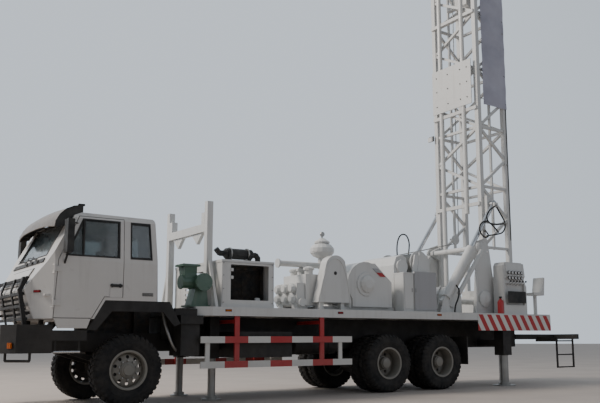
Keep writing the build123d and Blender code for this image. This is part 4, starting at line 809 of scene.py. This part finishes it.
# Guard in front of the grille: wide black straps and their bolts
straps = []
for out in (-1, 1):
    for y0, y1 in ((0.80, 0.905), (0.28, 0.36)):
        for z0, z1 in ((1.27, 1.76), (1.76, 1.95)):
            x0, x1 = (-1.600 if z == 1.76 else -1.505 if z < 1.76 else -1.545 for z in (z0, z1))
            if y0 < 0.5:
                x0, x1 = x0 + 0.012, x1 + 0.012
            straps.append(([(x0, out * y0, z0), (x0, out * y1, z0), (x1, out * y1, z1),
                    (x1, out * y0, z1)], (-0.022, 0, 0)))
plate_set("grille_guard_straps", BLACK, straps, 0.004)
bolts("guard_strap_bolts", [(at(-1.527 - lean, out * y, z), (-1, 0, 0)) for out in (-1, 1)
        for y in (0.852, 0.32) for z, lean in ((1.33, 0.012), (1.70, 0.084), (1.90, 0.04))], STEEL,
        0.013, 0.012)

# Bumper and cab sides: louvre bars, lamps, step sleeves, vents, handles and mirrors
louvre_runs = [((-1.862, -0.55, z), (-1.862, 0.55, z), 0.006)
        for z in (0.898, 0.94, 0.978, 1.02, 1.058, 1.10, 1.138, 1.18)]
bar_set("bumper_louvre_bars", GREY_PANEL, louvre_runs, 8)
for side, out in SIDES:
    corner = Vector((-0.842, out * 0.539, 0))
    lamp(f"bumper_amber_lamp_{side}", "carrier", (-1.745, out * 1.118, 0.94), corner, 0.085, 0.085,
            0.030, AMBER_LENS)
    lamp(f"head_lamp_{side}", "carrier", (-1.806, out * 0.77, 1.08), (-1, 0, 0), 0.21, 0.115, 0.038,
            CLEAR_LENS)
    flank = Vector((-0.747, out * 0.665, 0))
    lamp(f"cab_corner_marker_{side}", "carrier", (-1.395, out * 1.035, 1.73), flank, 0.11, 0.034, 0.020,
            RED_LENS)
    bar_set(f"step_bar_sleeve_{side}", CHROME, [((-1.165, out * 1.205, 0.845),
            (-0.785, out * 1.205, 0.845), 0.019)], 16)
    box_set(f"cab_vent_slot_{side}", PLASTIC, [((0.14, out * 1.233, 1.695 + step * 0.018),
            (0.32, out * 1.243, 1.705 + step * 0.018)) for step in range(3)], 0.002)
    box_set(f"door_handle_{side}", PLASTIC, [((-0.375, out * 1.233, 1.822),
            (-0.185, out * 1.258, 1.862)), ((-0.36, out * 1.233, 1.815), (-0.33, out * 1.243, 1.870)),
            ((-0.235, out * 1.233, 1.812), (-0.20, out * 1.243, 1.872))], 0.006, body=f"door_{side}")
    box_set(f"door_handle_cup_{side}", CAB_WHITE, [((-0.378, out * 1.2345, 1.66),
            (-0.182, out * 1.2385, 1.812))], 0.002, body=f"door_{side}")
    box_set(f"mirror_glass_{side}", CHROME, [((-1.0295, out * 1.325, 2.42),
            (-1.0265, out * 1.455, 2.765)), ((-1.0295, out * 1.325, 2.315),
            (-1.0265, out * 1.455, 2.395))], 0.001, body=f"door_{side}")
    box_set(f"mirror_frame_{side}", PLASTIC, [((-1.0325, out * 1.312, 2.40),
            (-1.022, out * 1.468, 2.415)), ((-1.0325, out * 1.308, 2.30), (-1.020, out * 1.323, 2.78)),
            ((-1.0325, out * 1.457, 2.30), (-1.020, out * 1.472, 2.78)),
            ((-1.0325, out * 1.308, 2.775), (-1.020, out * 1.472, 2.787))], 0.003, body=f"door_{side}")
box_set("roof_vent", PLASTIC, [((-0.16, -0.72, 2.945), (0.06, -0.44, 2.985)),
        ((-0.13, -0.69, 2.98), (0.03, -0.47, 3.0))], 0.012)

# Deck edge lamps and rear lamps
for side, out in SIDES:
    for number, (x, lens) in enumerate(((1.66, AMBER_LENS), (3.99, RED_LENS), (6.50, AMBER_LENS))):
        lamp(f"deck_marker_{side}_{number}", "carrier", (x, out * 1.240, 1.50), (0, out, 0), 0.11, 0.034,
                0.014, lens)
    for number, (y, lens) in enumerate(((0.98, RED_LENS), (0.82, AMBER_LENS), (0.66, CLEAR_LENS))):
        lamp(f"rear_lamp_{side}_{number}", "carrier", (11.15, out * y, 1.06), (1, 0, 0), 0.10, 0.08,
                0.02, lens)

# Sun visor: a curved shell that hugs the roof's front edge, its ends swept back
VISOR_HALF = 1.085
VISOR_REAR = -0.79
VISOR_REACH = 0.4
VISOR_STEPS = 32


def visor_section(y, inset):
    """One section of the visor across the cab, its front edge bowed forward in the middle."""
    bow = 0.07 * (1 - (y / VISOR_HALF) ** 2)
    lift = -0.04 * (y / VISOR_HALF) ** 4
    outer = ((VISOR_REAR, 3.068), (-0.93, 3.056), (-1.05, 3.010), (-1.14, 2.930), (-1.195, 2.830),
            (-1.212, 2.752))
    return [at(x - bow * (VISOR_REAR - x) / VISOR_REACH + inset, y * (1 - inset),
            z + lift * (VISOR_REAR - x) / VISOR_REACH - inset * 0.7) for x, z in outer]


visor_form = bmesh.new()
rings = [[visor_form.verts.new(p) for p in visor_section(y, 0.0) + visor_section(y, 0.009)[::-1]]
        for y in (-VISOR_HALF + 2 * VISOR_HALF * step / VISOR_STEPS for step in range(VISOR_STEPS + 1))]
bridge(visor_form, rings)
visor_form.faces.new(rings[0])
visor_form.faces.new(rings[-1][::-1])
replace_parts(settle("sun_visor_shell", visor_form, "carrier", VISOR, smooth_over=50),
        "roof_visor")
for side, out in SIDES:
    end_outline = [(-0.79, 3.074), (-0.93, 3.052), (-1.05, 2.996), (-1.14, 2.905), (-1.20, 2.790),
            (-1.19, 2.70), (-1.05, 2.735), (-0.93, 2.87), (-0.79, 2.945)]
    plate_set(f"visor_end_{side}", PLASTIC, [([(x, out * 1.088, z) for x, z in end_outline],
            (0, -out * 0.012, 0))], 0.003)
    bar_set(f"visor_stays_{side}", BLACK, [((-1.215, out * y, 2.765), (-1.02, out * y, 2.80), 0.008)
            for y in (0.35, 0.95)], 8)
    box_set(f"visor_clamp_{side}", BLACK, [((-0.86, out * 1.02, 3.062), (-0.76, out * 1.08, 3.092)),
            ((-0.86, out * 0.42, 3.07), (-0.78, out * 0.48, 3.092))], 0.006)

# Under the deck: straps of the air tanks
turned_set("air_tank_straps", BLACK, [((x, out * 0.76, 0.915), (1, 0, 0),
        ((-0.02, 0.166), (-0.02, 0.177), (0.02, 0.177), (0.02, 0.166)))
        for x in (3.35, 3.95) for side, out in SIDES], 40, True)

# Engine house: hinges, work lamp, radiator fins, fan belt, muffler clamps and feet, panel seam and bolts
box_set("house_hinges", WHITE, [((1.735, -1.168, z), (1.785, -1.150, z + 0.055)) for z in (2.04, 2.17)],
        0.005)
lamp("house_work_lamp", "carrier", (2.34, -0.98, 1.70), (0, -1, 0), 0.10, 0.075, 0.05, CLEAR_LENS)
box_set("radiator_fins", IRON, [((1.78 + 0.022 * step, -0.912, 1.66),
        (1.786 + 0.022 * step, -0.899, 2.22)) for step in range(31)], 0.0)
# the fan belt's pulleys: middle, reach of the belt round them, and the degrees over which it lies on them
PULLEYS = ((2.11, 1.78, 0.116, range(180, 361, 20)), (2.11, 1.95, 0.076, range(0, 181, 20)))
belt_points = [at(x + reach * cos(radians(a)), -0.672, z + reach * sin(radians(a)))
        for x, z, reach, wrap in PULLEYS for a in wrap]
pipe("fan_belt", belt_points, 0.007, HOSE, slot="engine_dark", closed=True, smooth=False, sides=8)
turned_set("muffler_clamps", STEEL, [((x, -0.61, 2.545), (1, 0, 0),
        ((-0.013, 0.098), (-0.013, 0.108), (0.013, 0.108), (0.013, 0.098))) for x in (1.99, 2.34)], 40,
        True)
box_set("muffler_feet", WHITE, [((x - 0.03, -0.66, 2.368), (x + 0.03, -0.56, 2.462))
        for x in (1.99, 2.34)], 0.008)
house_seam = [at(*p) for p in ((1.575, -1.1605, 1.60), (1.575, -1.1605, 2.33), (2.585, -1.1605, 2.33),
        (2.585, -1.1605, 1.60))]
pipe("house_panel_seam", house_seam, 0.004, GREY_PANEL, smooth=False, sides=6)
bolts("house_panel_bolts", [(at(x, -1.160, z), (0, -1, 0)) for x in (1.60, 2.56)
        for z in (1.64, 1.87, 2.10, 2.31)], STEEL, 0.011, 0.010)

# Compressor: cover bolts, and a flange plate with its bolts
bolts("compressor_cover_bolts", ring_places(1.265, -1.122, 1.97, 0.125, 8, (0, -1, 0)), GREEN, 0.013,
        0.014)
box_set("compressor_flange_plate", WHITE, [((0.93, -1.0, 2.266), (1.23, -0.70, 2.276))], 0.003)
bolts("compressor_flange_bolts", [(at(x, y, 2.272), (0, 0, 1)) for x in (0.955, 1.205)
        for y in (-0.975, -0.725)], STEEL, 0.011, 0.02)

# Mud pump: cover bolts, gauge on the dampener, blank plate, mark on the belt guard
bolts("power_end_cover_bolts", ring_places(4.83, -0.955, 2.08, 0.205, 10, (0, -1, 0)), WHITE, 0.015,
        0.022)
turned_set("dampener_gauge", STEEL, [((4.09, -0.5, 2.975), (0, 0, 1),
        ((0, 0.034), (0.012, 0.034), (0.012, 0.016), (0.05, 0.016))),
        ((4.09, -0.53, 3.065), (0, 1, 0), ((0, 0.045), (0.004, 0.048), (0.036, 0.048), (0.04, 0.044)))],
        24)
turned_set("dampener_band", WHITE, [((4.09, -0.5, 2.70), (0, 0, 1),
        ((-0.012, 0.2), (-0.012, 0.232), (0.012, 0.232), (0.012, 0.2)))], 48, True)
turned_set("belt_guard_mark", PLASTIC, [((4.0, -1.068, 2.25), (0, -1, 0),
        ((0, 0.034), (0.006, 0.034), (0.009, 0.028)))], 24)
pipe("belt_guard_lip", [at(x, -1.072, z) for x, z in ((3.625, 1.60), (3.66, 1.95), (3.80, 2.36),
        (3.93, 2.53), (4.08, 2.53), (4.22, 2.36), (4.32, 1.95), (4.345, 1.60))], 0.009, WHITE, sides=8)
for name, finish, low, high in (("dark", GREY_PANEL, 2.325, 2.40), ("red", RED, 2.245, 2.320)):
    shift = (2.40 - high) * 1.25
    plate_set(f"pump_plate_{name}", finish, [([(4.99 + shift, -0.962, high),
            (5.13 + shift, -0.962, high), (5.13 + shift + (high - low) * 1.25, -0.962, low),
            (4.99 + shift + (high - low) * 1.25, -0.962, low)], (0, 0.008, 0))])

# Cabinets: a grey door on the rear one, latches and bolts
box_set("cabinet_grey_door", GREY_PANEL, [((5.925, -1.148, 1.59), (6.525, -1.141, 2.372))], 0.003)
box_set("cabinet_latches", STEEL, [((5.945, -1.156, 1.95), (5.965, -1.147, 2.03)),
        ((5.85, -1.150, 1.95), (5.87, -1.141, 2.03))], 0.003)
bolts("cabinet_bolts", [(at(x, -1.149, z), (0, -1, 0)) for x in (5.95, 6.50) for z in (1.62, 2.34)],
        STEEL, 0.009, 0.008)

# Winch: the layer of wire rope on the drum
ROPE_TURNS, ROPE_PITCH = 50, 0.02
rope_layer = [(0.0, 0.15)]
for turn in range(ROPE_TURNS):
    rope_layer += [(along + turn * ROPE_PITCH, radius)
            for along, radius in ((0.003, 0.196), (0.010, 0.206), (0.017, 0.204))]
turned_set("winch_rope_layer", STEEL, [((6.45, -0.71, 2.62), (0, 1, 0),
        rope_layer + [(1.003, 0.196), (1.005, 0.15)])], 48, body="winch_drum")


def rope(name, start, end, body):
    """A taut wire rope of 22 mm between two points, its points evenly spaced."""
    start, end = at(*start), at(*end)
    return pipe(name, [start.lerp(end, step / 8) for step in range(9)], 0.011, STEEL, body=body,
            smooth=False, sides=8)


fast_line = rope("fast_line_to_mast", (6.45, 0.10, 2.832), (8.60, 0.33, 3.29), None)
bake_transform(fast_line)
rope("fast_line_up_the_mast", (8.70, 0.33, 3.38), (8.79, 0.33, 13.5), "mast")
turned_set("guide_sheaves", WHITE, [((8.60, 0.315, 3.38), (0, 1, 0),
        ((0, 0.05), (0, 0.115), (0.008, 0.10), (0.022, 0.10), (0.03, 0.115), (0.03, 0.05))),
        ((9.02, 0.315, 13.5), (0, 1, 0), ((0, 0.06), (0, 0.235), (0.008, 0.222), (0.022, 0.222),
        (0.03, 0.235), (0.03, 0.06)))], 40, body="mast")
box_set("guide_sheave_bracket", WHITE, [((8.44, 0.30, 3.36), (8.62, 0.312, 3.40)),
        ((8.44, 0.348, 3.36), (8.62, 0.36, 3.40))], 0.003, body="mast")
for number, (top_x, low_x, out) in enumerate(((8.79, 8.715, -1), (8.79, 8.715, 1), (9.25, 9.055, -1),
                                              (9.25, 9.055, 1))):
    top, low = (top_x, out * 0.2, 13.5), (low_x, out * 0.24, 9.53)
    drill_line = rope(f"drill_line_{number}", top, low, None)
    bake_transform(drill_line)

# Mast: the blank banner with its ties, plate bolts, cable and lamp
BANNER_X, BANNER_Z = 8.58, 6.49
BANNER_WIDE, BANNER_HIGH = 0.8, 5.85
BANNER_COLUMNS, BANNER_ROWS = 16, 80


def banner_point(across, up):
    """A point of the banner's grid: bellied between its ties, with a shallow ripple."""
    belly = 0.010 * sin(pi * across / BANNER_COLUMNS) * (1 + 0.8 * sin(up * 0.55))
    ripple = 0.005 * sin(up * 0.9 + across * 0.5)
    return at(BANNER_X + BANNER_WIDE * across / BANNER_COLUMNS, -0.752 - belly - ripple,
            BANNER_Z + BANNER_HIGH * up / BANNER_ROWS)


banner_form = bmesh.new()
grid = [[banner_form.verts.new(banner_point(across, up)) for across in range(BANNER_COLUMNS + 1)]
        for up in range(BANNER_ROWS + 1)]
for low, high in zip(grid, grid[1:]):
    for step in range(BANNER_COLUMNS):
        banner_form.faces.new((low[step], low[step + 1], high[step + 1], high[step]))
banner = settle("mast_banner", banner_form, "mast", VINYL, smooth_over=60)
ties = []
for up in range(9):
    z = BANNER_Z + 0.12 + up * 0.70
    ties += [((x0, -0.755, z), (x1, -0.745, z + 0.03), 0.006) for x0, x1 in ((8.60, 8.50), (9.36, 9.30))]
bar_set("banner_ties", HOSE, ties, 8, body="mast")
bolts("mast_plate_bolts", [(at(8.280, y, z), (-1, 0, 0)) for y in (-0.52, -0.30, 0.12, 0.50)
        for z in (6.68, 7.06, 7.42)], IRON, 0.016, 0.016, body="mast", slot="steel")
pipe("mast_cable", [at(9.345, -0.745, z) for z in (3.3, 4.4, 5.5, 6.6)], 0.010, HOSE, body="mast",
        smooth=False, sides=8)
lamp("mast_lamp_upper", "mast", (8.36, 0.80, 5.95), (-1, 0, -0.4), 0.16, 0.12, 0.08, CLEAR_LENS)
for number, z in enumerate((2.4, 5.1, 8.4, 11.2)):
    box_set(f"mast_cable_clips_{number}", STEEL, [((9.30, -0.757, z), (9.36, -0.72, z + 0.03))], 0.003,
            body="mast")


# Hydraulic hoses of the lift cylinders
HOSE_DIAMETER = 0.034


def hose(name, body, points):
    """A free hydraulic hose: one smooth curve."""
    curve = line([at(*p) for p in points])
    bpy.context.scene.collection.objects.link(curve)
    run = evaluated_mesh(curve)
    curve.name = name
    curve.data.bevel_depth = HOSE_DIAMETER / 2
    curve.data.bevel_resolution = 4
    curve.data.use_fill_caps = True
    curve.data.materials.append(HOSE)
    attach(curve, body)


hose("lift_hose_upper", "mast", ((8.63, -0.99, 3.99), (8.69, -0.99, 3.90), (8.79, -0.98, 3.80),
        (8.90, -0.96, 3.70), (8.95, -0.94, 3.56), (8.87, -0.93, 3.43), (8.72, -0.92, 3.38),
        (8.58, -0.87, 3.36), (8.48, -0.77, 3.34)))
hose("lift_hose_crossing", "mast", ((8.56, -0.99, 4.01), (8.46, -0.99, 3.95), (8.34, -0.99, 3.86),
        (8.26, -0.99, 3.72), (8.36, -0.99, 3.59), (8.54, -0.99, 3.58), (8.72, -0.97, 3.60),
        (8.90, -0.95, 3.64)))
hose("lift_hose_lower", "mast", ((8.72, -0.93, 3.42), (8.56, -0.96, 3.52), (8.36, -0.99, 3.62),
        (8.16, -0.995, 3.63), (8.02, -0.995, 3.50), (8.05, -0.995, 3.34), (8.20, -0.995, 3.25),
        (8.35, -0.96, 3.29), (8.44, -0.87, 3.37), (8.46, -0.77, 3.46)))
hose("lift_hose_far_loop", "lift_barrels", ((7.60, 0.90, 2.855), (7.57, 0.90, 2.96), (7.61, 0.90, 3.14),
        (7.62, 0.90, 3.34), (7.52, 0.90, 3.50), (7.34, 0.90, 3.48), (7.24, 0.90, 3.30),
        (7.22, 0.90, 3.02), (7.28, 0.90, 2.77), (7.41, 0.90, 2.62)))
hose("a_frame_hose", "carrier", ((7.16, -1.02, 1.575), (7.17, -1.02, 1.70), (7.27, -1.02, 1.86),
        (7.32, -1.02, 2.02), (7.28, -1.0, 2.14), (7.20, -0.95, 2.20)))
box_set("mast_hose_bracket", WHITE, [((8.54, -1.005, 3.985), (8.66, -0.95, 4.095)),
        ((8.84, -0.955, 3.62), (8.93, -0.935, 3.68)), ((8.84, -0.94, 3.63), (8.88, -0.75, 3.66)),
        ((8.46, -0.78, 3.63), (8.88, -0.755, 3.66))], 0.006, body="mast")
fitting = ((-0.03, 0.019), (0.012, 0.019), (0.012, 0.025), (0.04, 0.025), (0.04, 0.017))
turned_set("mast_hose_fittings", STEEL, [((8.60, -0.99, 4.03), (-1, 0, -0.5), fitting),
        ((8.60, -0.99, 4.03), (0.6, 0, -0.8), fitting), ((8.90, -0.95, 3.64), (-1, -0.1, -0.2), fitting),
        ((8.465, -0.74, 3.47), (-0.3, -1, -0.4), fitting), ((8.475, -0.74, 3.33), (0.3, -1, 0.1),
        fitting)], 16, body="mast")
turned_set("barrel_hose_fittings", STEEL, [((7.605, 0.90, 2.85), (-0.6, 0, 0.8), fitting),
        ((7.425, 0.90, 2.615), (-0.8, 0, 0.5), fitting)], 16, body="lift_barrels")
bar_set("a_frame_braces", WHITE, [((7.40, out * 0.92, 1.98), (8.16, out * 0.92, 2.96), 0.052)
        for side, out in SIDES], 24)

# Behind the front wheel: battery box and intake pipe
box_set("battery_box", BLACK, [((0.78, -0.80, 1.02), (1.11, -0.48, 1.40)),
        ((0.77, -0.81, 1.38), (1.12, -0.47, 1.405)), ((0.80, -0.42, 1.10), (1.06, 0.42, 1.40))], 0.008)
pipe("intake_pipe", [at(*p) for p in ((0.64, -0.86, 1.56), (0.65, -0.90, 1.36), (0.71, -0.97, 1.10),
        (0.78, -0.99, 0.92), (0.90, -0.97, 0.80), (1.10, -0.90, 0.76))], 0.026, STEEL)

# A-frame: rings of bolts round its bearings
bolts("a_frame_bolts", [place for side, out in SIDES
        for place in ring_places(8.22, out * 0.972, 3.05, 0.13, 6, (0, out, 0))], WHITE, 0.014, 0.016)

# Control console: gauges, levers, extinguisher and a black plate of painted shade for a recess
CONSOLE_Y = -1.221
turned_set("console_gauges", PLASTIC, [((8.68 + 0.105 * step, CONSOLE_Y + 0.004, z), (0, -1, 0),
        ((0, 0.04), (0.014, 0.04), (0.018, 0.034))) for step in range(5) for z in (2.36, 2.48)], 24)
turned_set("console_gauge_faces", CLEAR_LENS, [((8.68 + 0.105 * step, CONSOLE_Y - 0.013, z), (0, -1, 0),
        ((0, 0.030), (0.003, 0.030))) for step in range(5) for z in (2.36, 2.48)], 24)
lever_runs, knob_turns = [], []
for step in range(6):
    x = 8.66 + 0.10 * step
    lever_runs.append(((x, CONSOLE_Y + 0.06, 2.20), (x - 0.02, CONSOLE_Y - 0.07, 2.275), 0.007))
    knob_turns.append(((x - 0.02, CONSOLE_Y - 0.065, 2.272), (-0.1, -0.87, 0.5),
            ((0, 0.012), (0.012, 0.021), (0.03, 0.021), (0.04, 0.010))))
bar_set("console_levers", CHROME, lever_runs, 8)
turned_set("console_lever_knobs", PLASTIC, knob_turns, 16)
turned_set("fire_extinguisher", RED, [((8.47, -1.13, 1.562), (0, 0, 1),
        ((0, 0.060), (0.008, 0.068), (0.25, 0.068), (0.29, 0.052), (0.31, 0.026), (0.33, 0.026)))], 32)
turned_set("fire_extinguisher_valve", PLASTIC, [((8.47, -1.13, 1.890), (0, 0, 1),
        ((0, 0.022), (0.02, 0.022), (0.02, 0.034), (0.05, 0.030)))], 20)
# a thin black plate on the console's face: painted shade standing for a recess
box_set("console_recess_painted_shade", PLASTIC, [((8.62, -1.224, 1.80), (9.22, -1.219, 2.06))], 0.003)


# Camera: the lens and place found from the photograph, level floor, a slight upward look
CAMERA_PLACE = (-8.977, -12.568, 0.987)
CAMERA_YAW = radians(35.52)
CAMERA_PITCH = radians(8.94)
CAMERA_ROLL = radians(-0.29)
camera_data = bpy.data.cameras.new("photo_camera")
camera_data.lens = 45.14
camera_data.sensor_width = 36.0
camera_data.clip_end = 500.0
camera_data.shift_x = -0.05
camera_data.shift_y = 0.035
camera = bpy.data.objects.new("photo_camera", camera_data)
bpy.context.scene.collection.objects.link(camera)
camera.matrix_world = (Matrix.Translation(CAMERA_PLACE) @ Matrix.Rotation(-CAMERA_YAW, 4, "Z")
                       @ Matrix.Rotation(pi / 2 + CAMERA_PITCH, 4, "X")
                       @ Matrix.Rotation(CAMERA_ROLL, 4, "Z"))
bpy.context.scene.camera = camera

# Stage: a pale concrete floor under a soft overcast
floor_form = bmesh.new()
bmesh.ops.create_grid(floor_form, x_segments=1, y_segments=1, size=150)
floor_mesh = bpy.data.meshes.new("pale_floor")
floor_form.to_mesh(floor_mesh)
floor_form.free()
floor = bpy.data.objects.new("pale_floor", floor_mesh)
bpy.context.scene.collection.objects.link(floor)
concrete, concrete_shader, concrete_place = new_finish("pale_floor", Roughness=0.85)
feed(concrete_shader, "Base Color", mixed(spread(noise(concrete_place, 1.5), 0.3, 0.7), "#B5AAA0",
        "#A99E95"))
floor_mesh.materials.append(concrete)

world = bpy.data.worlds.new("overcast")
bpy.context.scene.world = world
world.use_nodes = True
sky_tree = world.node_tree
sky_direction = add_node(sky_tree, "ShaderNodeTexCoord").outputs["Generated"]
sky_across = add_node(sky_tree, "ShaderNodeSeparateXYZ", {"Vector": sky_direction}).outputs["Y"]
# the sun stands behind thin cloud on the truck's right side, so that half of the sky is the brighter one
sky_strength = spread(sky_across, -0.5, 0.7, 0.48, 1.30)
sky_tree.links.new(sky_strength, sky_tree.nodes["Background"].inputs["Strength"])
sky_tree.nodes["Background"].inputs["Color"].default_value = colour("#C3CCD6")


def soft_light(name, place, target, size, power, tint):
    """A large soft lamp aimed at a point."""
    data = bpy.data.lights.new(name, "AREA")
    data.shape = "DISK"
    data.size = size
    data.energy = power
    data.color = colour(tint)[:3]
    light = bpy.data.objects.new(name, data)
    bpy.context.scene.collection.objects.link(light)
    light.location = place
    light.rotation_euler = (Vector(target) - Vector(place)).to_track_quat("-Z", "Y").to_euler()


soft_light("key", (-17, 8, 18), (0, 0, 2), 8, 5200, "#FFF6EC")
soft_light("fill", (8, -20, 9), (2, 0, 4), 12, 300, "#EEF3FF")
